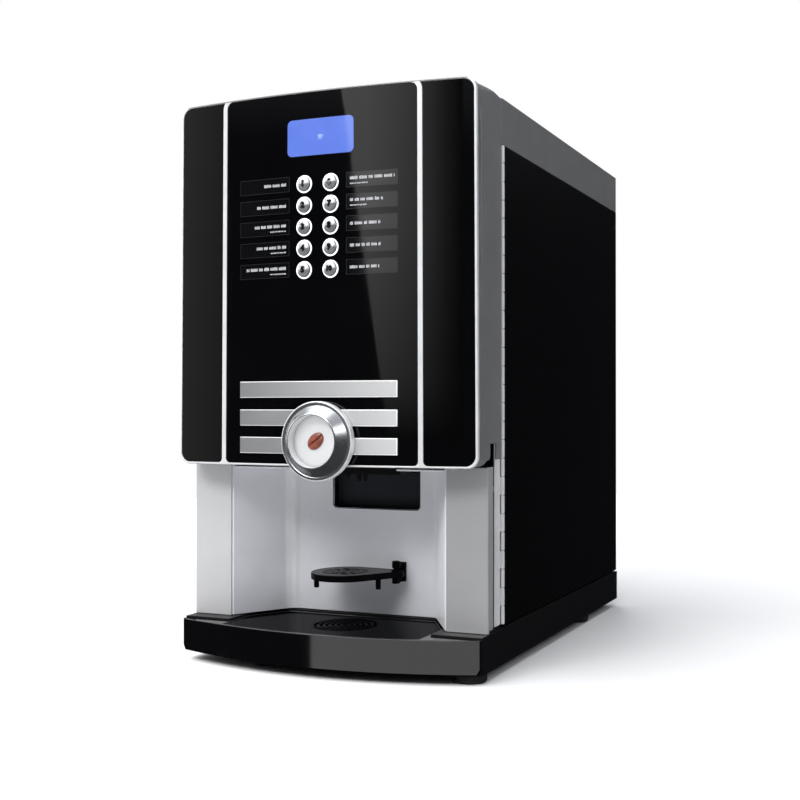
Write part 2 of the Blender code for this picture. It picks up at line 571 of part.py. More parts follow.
def inside(half, inset, shoulder, half_back, back, low, high):
    """Space behind the tray's curved front that narrows towards the niche's back wall."""
    xs = [-half + 2 * half * k / 12 for k in range(13)]
    return prism([(x, tray_front(x) + inset) for x in xs]
                 + [(half, shoulder), (half_back, back), (-half_back, back), (-half, shoulder)], "Z", low, high)


cut(tray,
    box(-TRAY_HALF - 0.0015, TRAY_HALF + 0.0015, 0.0035, 0.12, 0.0, 0.0188),
    inside(0.1315, 0.0045, 0.0502, 0.1024, 0.0955, 0.0470, 0.08),
    inside(0.1275, 0.0090, 0.0490, 0.0990, 0.0920, 0.0215, 0.08),
    merge(*[prism([(s * 0.2010, 0.0), (s * 0.1890, 0.0), (s * 0.2010, 0.0205)], "Y", -0.05, 0.05) for s in (-1.0, 1.0)]))
cover = finish("drip_cover", inside(0.1311, 0.0049, 0.0500, 0.1020, 0.0951, 0.0474, TRAY_TOP - 0.0005), gloss_black(),
               (GRID_MID[0], GRID_MID[1], 0.0474))


def arc_slot(r, width, start, sweep, steps=7):
    gx, gy = GRID_MID
    turns = [math.radians(start + sweep * k / steps) for k in range(steps + 1)]
    ring = [(gx + (r + width / 2) * math.cos(t), gy + (r + width / 2) * math.sin(t)) for t in turns]
    ring += [(gx + (r - width / 2) * math.cos(t), gy + (r - width / 2) * math.sin(t)) for t in reversed(turns)]
    return prism(ring, "Z", 0.03, 0.07)


cut(cover, merge(*[arc_slot(r, 0.0042, 90 + 120 * k + 15 * n, 104) for n, r in enumerate((0.014, 0.0245, 0.035)) for k in range(3)]))
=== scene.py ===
"""Looks of the table-top hot coffee vending machine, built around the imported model.

Solids are written as (x, depth, z), depth being the distance behind the plane of the door's
vertical edges; piece() moves them into the frame. Metres, except where a name says mm.
"""
import random
from math import acos, asin, atan2, ceil, cos, exp, hypot, pi, radians, sin, sqrt

import bmesh
import bpy
from mathutils import Matrix, Vector

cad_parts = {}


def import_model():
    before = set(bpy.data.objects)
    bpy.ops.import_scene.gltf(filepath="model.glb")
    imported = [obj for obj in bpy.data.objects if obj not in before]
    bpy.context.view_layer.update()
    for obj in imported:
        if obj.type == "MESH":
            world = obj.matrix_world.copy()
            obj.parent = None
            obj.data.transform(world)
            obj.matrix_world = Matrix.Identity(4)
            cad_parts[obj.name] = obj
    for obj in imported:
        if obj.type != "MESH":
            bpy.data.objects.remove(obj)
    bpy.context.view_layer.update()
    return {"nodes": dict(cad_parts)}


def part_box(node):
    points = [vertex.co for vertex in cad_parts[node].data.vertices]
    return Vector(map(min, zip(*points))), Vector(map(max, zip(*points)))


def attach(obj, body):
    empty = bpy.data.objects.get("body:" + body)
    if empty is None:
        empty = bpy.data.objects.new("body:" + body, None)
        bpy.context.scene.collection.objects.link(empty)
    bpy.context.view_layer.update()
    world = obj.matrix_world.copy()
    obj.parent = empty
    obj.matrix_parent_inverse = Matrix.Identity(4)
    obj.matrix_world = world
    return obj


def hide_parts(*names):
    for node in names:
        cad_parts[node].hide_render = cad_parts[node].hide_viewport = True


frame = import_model()

# ---- driving sizes, read from the frame ----
FRAME_LOW, FRAME_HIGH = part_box("door_frame")
FRAME_DEEP = 0.01
HALF_W = FRAME_HIGH.x
EDGE_Y = FRAME_HIGH.y - FRAME_DEEP
BULGE = EDGE_Y - FRAME_LOW.y
DOOR_LOW, DOOR_TOP = FRAME_LOW.z, FRAME_HIGH.z
DOOR_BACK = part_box("door_shell")[1].y - EDGE_Y
RIM_LEFT, RIM_RIGHT, RIM_TOP, RIM_LOW = 0.0014, 0.0028, 0.0017, 0.0023
SILVER_DEEP = 0.0045
STRIP_LEFT, STRIP_RIGHT, STRIP_HALF = -0.131, 0.1327, 0.003
CORNER_R = 0.0135
GAP = 0.0003
LEAN, LEAN_FROM = 0.0024, 0.626

scene = bpy.context.scene


# ================= camera, light and floor =================
def place(name, data, where, toward):
    """Puts a camera or a light in the scene; toward is the way it looks."""
    obj = bpy.data.objects.new(name, data)
    obj.location = where
    obj.rotation_mode = "QUATERNION"
    obj.rotation_quaternion = Vector(toward).to_track_quat("-Z", "Y")
    scene.collection.objects.link(obj)
    return obj


def camera():
    made = bpy.data.cameras.new("camera")
    made.sensor_width = 36
    made.lens = 51.07
    made.shift_x = -0.135
    made.clip_start = 0.05
    scene.camera = place("camera", made, (0.6846, -1.4517, 0.3122), (-0.3571, 0.934, 0.0077))


def area(name, where, target, size, energy):
    made = bpy.data.lights.new(name, "AREA")
    made.shape = "RECTANGLE"
    made.size, made.size_y = size
    made.energy = energy
    return place(name, made, where, Vector(target) - Vector(where))


def only_on(light, pieces):
    """Keeps a light to a few pieces, as a flag keeps it off the rest."""
    group = bpy.data.collections.new(light.name + "_receivers")
    for obj in pieces:
        group.objects.link(obj)
    light.light_linking.receiver_collection = group


def add(tree, kind, feeds, **settings):
    """Adds a shader node; each input is fed with a value or with another node's output."""
    made = tree.nodes.new("ShaderNode" + kind)
    for key, value in settings.items():
        setattr(made, key, value)
    feed(tree, made, feeds)
    return made


def feed(tree, node, feeds):
    for key, value in feeds.items():
        if isinstance(value, bpy.types.NodeSocket):
            tree.links.new(value, node.inputs[key])
        else:
            node.inputs[key].default_value = value


def ramp(tree, source, stops):
    made = add(tree, "ValToRGB", {0: source})
    elements = made.color_ramp.elements
    while len(elements) < len(stops):
        elements.new(0.5)
    for element, (t, colour) in zip(elements, stops):
        element.position = t
        element.color = (*colour, 1)
    return made.outputs[0]


def blend(tree, one, two, factor=1, how="MULTIPLY"):
    made = add(tree, "Mix", {}, data_type="RGBA", blend_type=how)
    feed(tree, made, {"Factor": factor, "A": one, "B": two})
    return made.outputs["Result"]


def maths(tree, how, one, two):
    return add(tree, "Math", {0: one, 1: two}, operation=how).outputs[0]


def noise(tree, source, scale, detail=2):
    return add(tree, "TexNoise", {"Scale": scale, "Detail": detail, "Vector": source}).outputs["Fac"]


def spread(tree, source, low, high, dark=0, light=1):
    return add(tree, "MapRange", {"From Min": low, "From Max": high, "To Min": dark, "To Max": light,
        "Value": source}).outputs["Result"]


def position(tree, kind="Object"):
    return add(tree, "TexCoord", {}).outputs[kind]


def share(tree, source, axis):
    return add(tree, "SeparateXYZ", {0: source}).outputs[axis]


def world():
    """White paper behind the object; what it reflects is a dim room, brighter overhead."""
    made = bpy.data.worlds.new("studio")
    made.use_nodes = True
    tree = made.node_tree
    tree.nodes.clear()
    room = ramp(tree, share(tree, position(tree, "Generated"), "Z"),
        [(0.23, (0.02, 0.021, 0.025)), (0.34, (0.34, 0.35, 0.37)), (0.85, (0.62, 0.64, 0.68))])
    seen = add(tree, "LightPath", {}).outputs["Is Camera Ray"]
    back = add(tree, "Background", {"Color": blend(tree, room, (1, 1, 1, 1), seen, "MIX")})
    add(tree, "OutputWorld", {0: back.outputs[0]})
    scene.world = made


def new_object(name, bm, mats=()):
    mesh = bpy.data.meshes.new(name)
    bm.to_mesh(mesh)
    bm.free()
    for mat in mats:
        mesh.materials.append(mat)
    obj = bpy.data.objects.new(name, mesh)
    scene.collection.objects.link(obj)
    return obj


def card(name, corners, tones, axes, strength):
    """A glowing sheet that only reflections see; its tones run along the given axes."""
    bm = bmesh.new()
    bm.faces.new([bm.verts.new(p) for p in corners])
    mat = bpy.data.materials.new(name)
    mat.use_nodes = True
    tree = mat.node_tree
    tree.nodes.clear()
    where = position(tree)
    factor = None
    for axis, stops in zip(axes, tones):
        ends = [p["XYZ".index(axis)] for p in corners]
        along = spread(tree, share(tree, where, axis), min(ends), max(ends))
        tone = ramp(tree, along, [(t, (v, v, v)) for t, v in stops])
        factor = tone if factor is None else blend(tree, factor, tone)
    glow = add(tree, "Emission", {"Color": factor, "Strength": strength})
    add(tree, "OutputMaterial", {0: glow.outputs[0]})
    obj = new_object(name, bm, [mat])
    obj.visible_camera = obj.visible_diffuse = obj.visible_shadow = False


def floor():
    bm = bmesh.new()
    bmesh.ops.create_circle(bm, cap_ends=True, radius=2.6, segments=96)
    mat = surface("floor_paper", (0.88, 0.88, 0.885), 0.3, spec=0.28, mottle=(1.5, 0.002), bump=(1.5, 0), smudge=0)
    obj = new_object("floor", bm, [mat])
    obj.visible_glossy = False


CARD_Y = -2.878


def studio():
    world()
    scene.view_settings.view_transform = "Standard"
    made = bpy.data.lights.new("overhead_sun", "SUN")
    made.energy = 3.1
    made.angle = radians(62)
    place("overhead_sun", made, (0, 0, 0), (0.3, 0.42, -0.86))
    area("front_top", (-0.35, -2.6, 2.3), (0, -0.2, 0.35), (1.9, 0.9), 46)
    area("left_flank", (-2.5, -0.35, 0.95), (0, 0, 0.35), (1.3, 1.5), 26)
    area("back_left", (-1.3, 2.5, 1.7), (0, 0.2, 0.35), (1.4, 1.2), 34)
    area("right_weak", (2.6, -1.3, 1.9), (0, 0, 0.35), (0.9, 0.9), 13)
    for name, spots, tones, strength in (("wedge_card", ((-1.58, 2.42), (-0.2, 2.42), (-0.2, 0.2), (-0.812, 0.2)),
            (((0, 1), (0.42, 0.86), (0.72, 0.5), (0.9, 0.12), (1, 0)), ((0, 0), (0.1, 0.35), (0.35, 0.72), (1, 1))),
            1.9), ("left_card", ((-5.2, 2.6), (-2.75, 2.6), (-2.75, 0), (-5.2, 0)),
            (((0, 1), (0.55, 0.8), (1, 0.42)), ((0, 0.75), (1, 1))), 0.62)):
        card(name, [(x, CARD_Y, z) for x, z in spots], tones, "XZ", strength)


# ================= materials =================
def surface(name, colour, rough, metal=0, bump=(900, 0.04), smudge=0.04, mottle=(25, 0.06), spec=0.5, coat=0,
        stretch=(1, 1, 1), glow=None, clear=0, anis=0, flake=0, dust=0):
    """A finished material: cloudy colour, uneven roughness and a fine relief.

    mottle and bump are (scale, amount); stretch draws the relief out into brush lines;
    flake adds metallic specks and dust lies on faces that look up."""
    mat = bpy.data.materials.new(name)
    mat.use_nodes = True
    tree = mat.node_tree
    where = position(tree)
    brushed = add(tree, "Mapping", {"Scale": stretch, "Vector": where}).outputs["Vector"]
    grain = noise(tree, brushed, bump[0], 3)
    low = tuple((c * (1 - mottle[1]) for c in colour))
    high = tuple((min(1, c * (1 + mottle[1]) + 0.004 * mottle[1]) for c in colour))
    tint = ramp(tree, noise(tree, where, mottle[0], 4), [(0.3, low), (0.7, high)])
    if flake:
        speck = add(tree, "TexVoronoi", {"Scale": 2600, "Vector": where}).outputs["Color"]
        tint = blend(tree, tint, speck, flake, "OVERLAY")
    if dust:
        up = spread(tree, share(tree, add(tree, "NewGeometry", {}).outputs["Normal"], "Z"), 0.75, 1)
        patch = spread(tree, noise(tree, where, 14, 6), 0.4, 0.75, 0, dust)
        tint = blend(tree, tint, (0.32, 0.31, 0.29, 1), maths(tree, "MULTIPLY", up, patch), "MIX")
    cloudy = spread(tree, noise(tree, where, 7, 6), 0.35, 0.7, rough, rough + smudge)
    fine = spread(tree, grain, 0.3, 0.7, -0.25 * smudge, 0.25 * smudge)
    relief = add(tree, "Bump", {"Strength": bump[1], "Distance": 0.0004, "Height": grain}).outputs["Normal"]
    feeds = {"Metallic": metal, "Specular IOR Level": spec, "Coat Weight": coat, "Coat Roughness": 0.04,
        "Transmission Weight": clear, "Anisotropic": anis, "Base Color": tint,
        "Roughness": maths(tree, "ADD", cloudy, fine), "Normal": relief}
    if anis:
        feeds["Tangent"] = add(tree, "Tangent", {}, direction_type="RADIAL", axis="Z").outputs[0]
    if glow:
        feeds["Emission Color"], feeds["Emission Strength"] = ((*glow[0], 1), glow[1])
    feed(tree, tree.nodes["Principled BSDF"], feeds)
    return mat


def lit(mat, colour, strength):
    feed(mat.node_tree, mat.node_tree.nodes["Principled BSDF"],
        {"Emission Color": colour, "Emission Strength": strength})
    return mat


def paint_reflection_left_to_right(mat, x_dark, x_light, least):
    """Brushed metal with a painted reflection: its colour runs from dark on the left to light on the right."""
    tree = mat.node_tree
    base = tree.nodes["Principled BSDF"].inputs["Base Color"]
    tone = spread(tree, share(tree, position(tree), "X"), x_dark, x_light, least)
    tree.links.new(blend(tree, base.links[0].from_socket, tone), base)
    return mat


UPRIGHT = {"stretch": (1, 1, 0.012)}
LEVEL = {"stretch": (0.012, 1, 1)}
FINISHES = [
    ("piano_black", "piano_black", (0.001, 0.001, 0.0012), 0.035, 0, (14, 0.01), dict(smudge=0.025)),
    ("tray_black", "tray_black", (0.0012, 0.0012, 0.0015), 0.06, 0, (16, 0.008), dict(spec=0.4, smudge=0.03)),
    ("cover_black", "cover_black", (0.001, 0.001, 0.0016), 0.08, 0, (16, 0.008), dict(spec=0.003, smudge=0.03)),
    ("panel_black", "panel_black", (0.0015, 0.0015, 0.0017), 0.3, 0, (700, 0.05), dict(spec=0.1, smudge=0.08)),
    ("satin_black", "satin_black", (0.0055, 0.0055, 0.006), 0.4, 0, (1500, 0.14),
        dict(spec=0.2, smudge=0.1, dust=0.03)),
    ("shelf_black", "shelf_black", (0.0018, 0.0018, 0.0022), 0.22, 0, (900, 0.04), dict(spec=0.03, smudge=0.06)),
    ("rubber", "rubber", (0.016, 0.016, 0.016), 0.68, 0, (1800, 0.35), dict(spec=0.3, mottle=(60, 0.2), dust=0.08)),
    ("silver", "silver_rim", (0.64, 0.645, 0.655), 0.32, 0.25, (2200, 0.03), dict(flake=0.05, coat=0.3)),
    ("grey", "grey_metallic", (0.172, 0.174, 0.178), 0.42, 0.25, (1700, 0.12),
        dict(flake=0.16, smudge=0.08, dust=0.04)),
    ("steel_v", "steel_brushed_upright", (0.72, 0.72, 0.725), 0.3, 0.68, (1100, 0.1),
        dict(**UPRIGHT, smudge=0.08, mottle=(9, 0.05), anis=0.35)),
    # steel_left: less metallic copy of the column steel that reads lighter, painted light on the left column
    ("steel_left", "steel_brushed_painted_light", (0.6, 0.6, 0.605), 0.32, 0.32, (1100, 0.08),
        dict(**UPRIGHT, smudge=0.08, mottle=(9, 0.04), anis=0.35)),
    # niche_bend_painted_highlight: brighter copy of the niche steel, a painted highlight on the back left bend
    ("niche_bend_painted_highlight", "niche_bend_painted_highlight", (0.92, 0.925, 0.95), 0.22, 0.2, (1300, 0.03), UPRIGHT),
    # rim_dim: a dimmed copy of the silver, painted shade on the rim's outer edges
    ("rim_dim", "silver_rim_painted_shade", (0.24, 0.242, 0.247), 0.36, 0.3, (2200, 0.03), {}),
    ("steel_h", "steel_brushed_level", (0.62, 0.62, 0.625), 0.28, 0.55, (1500, 0.04),
        dict(**LEVEL, smudge=0.08, mottle=(9, 0.05))),
    ("niche", "niche_steel", (0.8, 0.805, 0.845), 0.3, 0.28, (1300, 0.05),
        dict(**UPRIGHT, smudge=0.1, mottle=(7, 0.07))),
    # bar: its colour later gets a painted reflection, darker on the left
    ("bar", "bar_brushed_painted_reflection", (0.48, 0.483, 0.49), 0.36, 0.4, (1500, 0.01),
        dict(**LEVEL, smudge=0.03, mottle=(9, 0.02))),
    ("bezel", "bezel_silver", (0.7, 0.705, 0.715), 0.3, 0.3, (900, 0.02), {}),
    ("cone", "cone_polished", (0.46, 0.47, 0.48), 0.25, 0.95, (40, 0.003), {}),
    # cap_edge_painted_shade: near-black copy of the button metal, painted shade at the cap's rim
    ("cap_edge_painted_shade", "cap_edge_painted_shade", (0.07, 0.07, 0.075), 0.3, 0.6, (900, 0.02), {}),
    ("chrome", "polished_ring", (0.62, 0.63, 0.64), 0.17, 1, (500, 0.01), {}),
    ("button", "button_metal", (0.52, 0.525, 0.535), 0.22, 0.45, (1500, 0.02), dict(smudge=0.06)),
    # edge: near-white copy of the bar metal, a painted highlight on the bars' top and bottom faces
    ("edge", "bar_edge_painted_highlight", (0.95, 0.955, 0.97), 0.3, 0.2, (900, 0.02), LEVEL),
    # button_painted_shade: darker copy of the button metal, painted shade on the lower half of each key
    ("button_painted_shade", "button_metal_painted_shade", (0.36, 0.363, 0.37), 0.24, 0.6, (1500, 0.02), dict(smudge=0.06)),
    ("ink", "button_ink", (0.003, 0.003, 0.003), 0.6, 0, (900, 0.02), dict(spec=0.1)),
    ("ring", "ring_light", (0.9, 0.93, 0.97), 0.35, 0, (400, 0.02), dict(glow=((0.9, 0.95, 1), 0.95))),
    ("label", "label_window", (0.0025, 0.0025, 0.003), 0.07, 0, (30, 0.004), dict(spec=0.85, smudge=0.015)),
    ("label_edge", "label_edge", (0.012, 0.0125, 0.014), 0.3, 0, (900, 0.02), {}),
    # print: the printed marks also glow faintly, a painted glow
    ("print", "label_print", (0.7, 0.71, 0.73), 0.5, 0, (900, 0.03), dict(glow=((0.85, 0.9, 1), 0.15))),
    ("inner", "inner_plastic", (0.06, 0.061, 0.064), 0.44, 0, (1300, 0.18), dict(smudge=0.1, dust=0.05)),
    ("guard", "guard_plastic", (0.018, 0.02, 0.026), 0.34, 0, (600, 0.1), dict(**UPRIGHT, spec=0.25, smudge=0.1)),
    ("liner", "liner_plastic", (0.105, 0.107, 0.112), 0.42, 0, (1300, 0.18), dict(smudge=0.1)),
    ("pale", "pale_plastic", (0.55, 0.56, 0.57), 0.36, 0, (1100, 0.1), dict(smudge=0.08)),
    ("smoked", "smoked_clear", (0.2, 0.17, 0.15), 0.08, 0, (300, 0.01), dict(clear=0.85)),
    ("clear", "milky_clear", (0.8, 0.81, 0.83), 0.22, 0, (300, 0.03), dict(clear=0.7)),
    ("board", "board_green", (0.012, 0.11, 0.048), 0.34, 0, (800, 0.1), dict(mottle=(120, 0.25))),
    ("part_black", "component_black", (0.012, 0.012, 0.012), 0.38, 0, (1500, 0.15), {}),
    ("brass", "brass", (0.6, 0.43, 0.16), 0.24, 1, (900, 0.06), dict(mottle=(40, 0.12))),
    ("copper", "copper", (0.6, 0.27, 0.14), 0.26, 1, (900, 0.06), dict(mottle=(50, 0.15))),
    ("hose", "silicone_hose", (0.62, 0.6, 0.56), 0.38, 0, (500, 0.05), dict(mottle=(60, 0.1))),
    ("felt", "insulation_jacket", (0.3, 0.295, 0.28), 0.85, 0, (420, 0.9), dict(spec=0.2, mottle=(90, 0.25))),
    ("red", "wire_red", (0.42, 0.03, 0.02), 0.42, 0, (900, 0.05), {}),
    ("blue", "wire_blue", (0.02, 0.06, 0.35), 0.42, 0, (900, 0.05), {}),
    ("coffee", "roasted_beans", (0.06, 0.022, 0.01), 0.34, 0, (600, 0.25), dict(spec=0.6, mottle=(160, 0.45))),
    ("powder", "milk_powder", (0.74, 0.66, 0.52), 0.9, 0, (900, 1), dict(spec=0.1, mottle=(220, 0.14))),
    ("hinge", "hinge_steel", (0.74, 0.74, 0.75), 0.34, 0.35, (900, 0.03), {}),
    ("zinc", "zinc_screws", (0.62, 0.62, 0.6), 0.32, 1, (1200, 0.08), {}),
]


def make_materials():
    made = {}
    for key, name, colour, rough, metal, bump, more in FINISHES:
        made[key] = surface(name, colour, rough, metal, bump, **more)
    # the trim bars get a painted reflection, dark on the left and light on the right
    paint_reflection_left_to_right(made["bar"], -0.11, 0.1, 0.42)
    return made


def display_material():
    """Blue back light, a little uneven, behind a faint grid of dots."""
    mat = surface("display_blue", (0.04, 0.06, 0.2), 0.05, spec=0.9, bump=(20, 0.004))
    tree = mat.node_tree
    where = position(tree)
    blue = ramp(tree, noise(tree, where, 26), [(0.25, (0.07, 0.135, 0.5)), (0.75, (0.095, 0.17, 0.57))])
    across, up = [add(tree, "TexWave", {"Scale": 330, "Vector": where}, bands_direction=axis) for axis in "XZ"]
    grid = maths(tree, "MULTIPLY", maths(tree, "MULTIPLY", across.outputs["Fac"], up.outputs["Fac"]), 0.1)
    return lit(mat, blend(tree, blue, (0.55, 0.6, 0.9, 1), grid), 1)


def lens_material(centre, radius):
    """Lit white lens that turns greyer towards its rim; the grey is painted shade."""
    mat = surface("medallion_white", (0.38, 0.385, 0.39), 0.3, spec=0.3, bump=(40, 0.01))
    tree = mat.node_tree
    away = add(tree, "VectorMath", {0: position(tree), 1: centre}, operation="DISTANCE").outputs["Value"]
    white_painted_rim_shade = ramp(tree, spread(tree, away, 0, radius), [(0, (0.8, 0.81, 0.82)), (0.84, (0.76, 0.77, 0.78)),
        (1, (0.42, 0.43, 0.44))])
    return lit(mat, white_painted_rim_shade, 0.36)


# ================= mesh tools =================
def bulge(x):
    """Depth of the convex door front at x."""
    return -BULGE * (1 - (x / HALF_W) ** 2)


def lean(x, z, fade=1):
    """The door's sides lean in a little towards its top."""
    t = min(1, max(0, (z - LEAN_FROM) / (DOOR_TOP - LEAN_FROM)))
    return x - fade * LEAN * t * t * (3 - 2 * t) * x / HALF_W


def outline(x0, x1, z0, z1, radii, steps=10):
    """Rounded rectangle. Radii: one number, or (top right, top left, bottom left, bottom right)."""
    if not isinstance(radii, tuple):
        radii = (radii,) * 4
    points = []
    spots = ((x1, z1, -1, -1, 0), (x0, z1, 1, -1, 90), (x0, z0, 1, 1, 180), (x1, z0, -1, 1, 270))
    for (cx, cz, sx, sz, start), r in zip(spots, radii):
        if r <= 0:
            points.append((cx, cz))
            continue
        for k in range(steps + 1):
            t = radians(start + 90 * k / steps)
            points.append((cx + sx * r + r * cos(t), cz + sz * r + r * sin(t)))
    return points


def disc(cx, cz, r, n=48):
    return [(cx + r * cos(2 * pi * k / n), cz + r * sin(2 * pi * k / n)) for k in range(n)]


def outward(bm):
    bmesh.ops.recalc_face_normals(bm, faces=bm.faces)


def extrude(bm, vector):
    grown = bmesh.ops.extrude_face_region(bm, geom=bm.faces[:])
    moved = [g for g in grown["geom"] if isinstance(g, bmesh.types.BMVert)]
    bmesh.ops.translate(bm, vec=Vector(vector), verts=moved)
    outward(bm)


def plate(shape, holes, axis, low, high):
    """A flat sheet with holes, in the plane across the given axis."""
    bm = bmesh.new()

    def at(p, q, r):
        return {"X": (r, p, q), "Y": (p, r, q), "Z": (p, q, r)}[axis]

    edges = []
    for points in [shape] + list(holes):
        ring = [bm.verts.new(at(p, q, low)) for p, q in points]
        if not holes:
            bm.faces.new(ring)
        for k in range(len(ring)):
            if holes:
                edges.append(bm.edges.new((ring[k], ring[(k + 1) % len(ring)])))
    if holes:
        bmesh.ops.triangle_fill(bm, edges=edges, use_beauty=True)
    extrude(bm, at(0, 0, high - low))
    return bm


def slab(x0, x1, z0, z1, radius, steps, axis, low, high, holes=()):
    """A rounded plate, from low to high along the axis."""
    return plate(outline(x0, x1, z0, z1, radius, steps), holes, axis, low, high)


def block(x0, x1, y0, y1, z0, z1):
    return plate([(x0, y0), (x1, y0), (x1, y1), (x0, y1)], (), "Z", z0, z1)


def front_sheet(shape, holes, front, thick, edge=0.0004, step=0.006):
    """A sheet in (x, z) bent to the door's convex front, with eased front edges."""
    bm = plate(shape, holes, "Y", 0, thick)
    sharp = [e for e in bm.edges if all((abs(v.co.y) < 1e-07 for v in e.verts)) and e.calc_face_angle(0) > 1]
    if edge:
        bmesh.ops.bevel(bm, geom=sharp, offset=edge, segments=3, profile=0.5, affect="EDGES", clamp_overlap=True)
    xs = [p[0] for p in shape]
    x = ceil(min(xs) / step) * step
    while x < max(xs):
        parts = bm.verts[:] + bm.edges[:] + bm.faces[:]
        bmesh.ops.bisect_plane(bm, geom=parts, plane_co=(x, 0, 0), plane_no=(1, 0, 0), dist=1e-06)
        x += step
    for v in bm.verts:
        v.co.y += bulge(v.co.x) + front
        v.co.x = lean(v.co.x, v.co.z)
    return bm


def pairs(*mm):
    """Points in a plane, from a flat list in millimetres."""
    return [(a / 1000, b / 1000) for a, b in zip(mm[::2], mm[1::2])]


def path(*mm):
    """Points in space, from a flat list in millimetres."""
    return [(a / 1000, b / 1000, c / 1000) for a, b, c in zip(mm[::3], mm[1::3], mm[2::3])]


def stitch(bm, one, two):
    """Joins two rings of equally many points; a ring of one point is a tip."""
    n = max(len(one), len(two))
    for k in range(n):
        j = (k + 1) % n
        corners = []
        for v in (one[k % len(one)], one[j % len(one)], two[j % len(two)], two[k % len(two)]):
            if v not in corners:
                corners.append(v)
        if len(corners) > 2:
            bm.faces.new(corners)


def turned(profile, centre, axis="Y", n=96):
    """Turns (radius, height) pairs; height runs up, or towards the user for axis "Y"."""
    bm = bmesh.new()
    cx, cy, cz = centre

    def at(r, h, t):
        if axis == "Z":
            return (cx + r * cos(t), cy + r * sin(t), cz + h)
        if axis == "X":
            return (cx + h, cy + r * cos(t), cz + r * sin(t))
        return (cx + r * cos(t), cy - h, cz + r * sin(t))

    rings = []
    for r, h in profile:
        count = 1 if r < 1e-07 else n
        rings.append([bm.verts.new(at(r, h, 2 * pi * k / n)) for k in range(count)])
    joins = list(zip(rings, rings[1:]))
    if profile[0][0] > 1e-07:
        joins.append((rings[-1], rings[0]))
    for low, high in joins:
        stitch(bm, low, high)
    outward(bm)
    return bm


def rod(a, b, r, n=20):
    """A round bar from a to b with eased ends."""
    a, b = Vector(a), Vector(b)
    length = (b - a).length
    ease = min(0.25 * r, 0.2 * length)
    bm = turned([(0, 0), (r - ease, 0), (r, ease), (r, length - ease), (r - ease, length), (0, length)], (0, 0, 0),
        "Z", n)
    return aim(bm, b - a, a)


def aim(bm, direction, where):
    """Turns a solid's own z to a direction and moves it into place."""
    bmesh.ops.rotate(bm, cent=Vector(), matrix=direction.to_track_quat("Z", "Y").to_matrix(), verts=bm.verts)
    return shift(bm, where)


def pipe(points, r, n=14, steps=8):
    """A tube of radius r along a smooth curve through the points."""
    pts = [Vector(p) for p in points]
    pts = [2 * pts[0] - pts[1]] + pts + [2 * pts[-1] - pts[-2]]
    line = []
    for k in range(1, len(pts) - 2):
        p0, p1, p2, p3 = pts[k - 1:k + 3]
        for s in range(steps):
            t = s / steps
            line.append(0.5 * (2 * p1 + (p2 - p0) * t + (2 * p0 - 5 * p1 + 4 * p2 - p3) * t ** 2
                + (3 * p1 - p0 - 3 * p2 + p3) * t ** 3))
    line.append(pts[-2])
    bm = bmesh.new()
    side = None
    rings = []
    for k, p in enumerate(line):
        ahead = (line[min(k + 1, len(line) - 1)] - line[max(k - 1, 0)]).normalized()
        if side is None:
            side = ahead.orthogonal().normalized()
        side = (side - ahead * side.dot(ahead)).normalized()
        other = ahead.cross(side)
        rings.append([bm.verts.new(p + r * (cos(2 * pi * j / n) * side + sin(2 * pi * j / n) * other))
            for j in range(n)])
    for one, two in zip(rings, rings[1:]):
        stitch(bm, one, two)
    bm.faces.new(rings[0])
    bm.faces.new(rings[-1])
    outward(bm)
    return bm


def merge(*solids):
    """Puts solids into one mesh; each may be a pair (solid, material index)."""
    out = bmesh.new()
    for item in solids:
        bm, index = item if isinstance(item, tuple) else (item, None)
        if index is not None:
            for f in bm.faces:
                f.material_index = index
        mesh = bpy.data.meshes.new("part")
        bm.to_mesh(mesh)
        bm.free()
        out.from_mesh(mesh)
        bpy.data.meshes.remove(mesh)
    return out


def shift(bm, vector):
    bmesh.ops.translate(bm, vec=vector, verts=bm.verts)
    return bm


def turn_about(bm, angle, axis, centre=(0, 0, 0)):
    bmesh.ops.rotate(bm, cent=Vector(centre), matrix=Matrix.Rotation(radians(angle), 3, axis), verts=bm.verts)
    return bm


def glyph(text, size, x, depth, z, thick, bold=0):
    """A raised figure that faces the user."""
    curve = bpy.data.curves.new("glyph", "FONT")
    curve.body = text
    curve.size = size
    curve.extrude = thick / 2
    curve.offset = bold
    curve.align_x, curve.align_y = "CENTER", "CENTER"
    obj = bpy.data.objects.new("glyph", curve)
    scene.collection.objects.link(obj)
    bpy.context.view_layer.update()
    mesh = bpy.data.meshes.new_from_object(obj.evaluated_get(bpy.context.evaluated_depsgraph_get()))
    bm = bmesh.new()
    bm.from_mesh(mesh)
    bmesh.ops.remove_doubles(bm, verts=bm.verts, dist=1e-06)
    turn_about(bm, 90, "X")
    shift(bm, (x, depth, z))
    bpy.data.objects.remove(obj)
    bpy.data.curves.remove(curve)
    bpy.data.meshes.remove(mesh)
    return bm


def carve(bm, cutters):
    """Cuts closed solids out of a closed solid."""
    body = new_object("carved", bm)
    tools = [new_object("cutter", c) for c in cutters]
    for t in tools:
        mod = body.modifiers.new("cut", "BOOLEAN")
        mod.operation, mod.solver, mod.object = "DIFFERENCE", "EXACT", t
    bpy.context.view_layer.update()
    mesh = bpy.data.meshes.new_from_object(body.evaluated_get(bpy.context.evaluated_depsgraph_get()))
    out = bmesh.new()
    out.from_mesh(mesh)
    for obj in [body] + tools:
        old = obj.data
        bpy.data.objects.remove(obj)
        bpy.data.meshes.remove(old)
    bpy.data.meshes.remove(mesh)
    return out


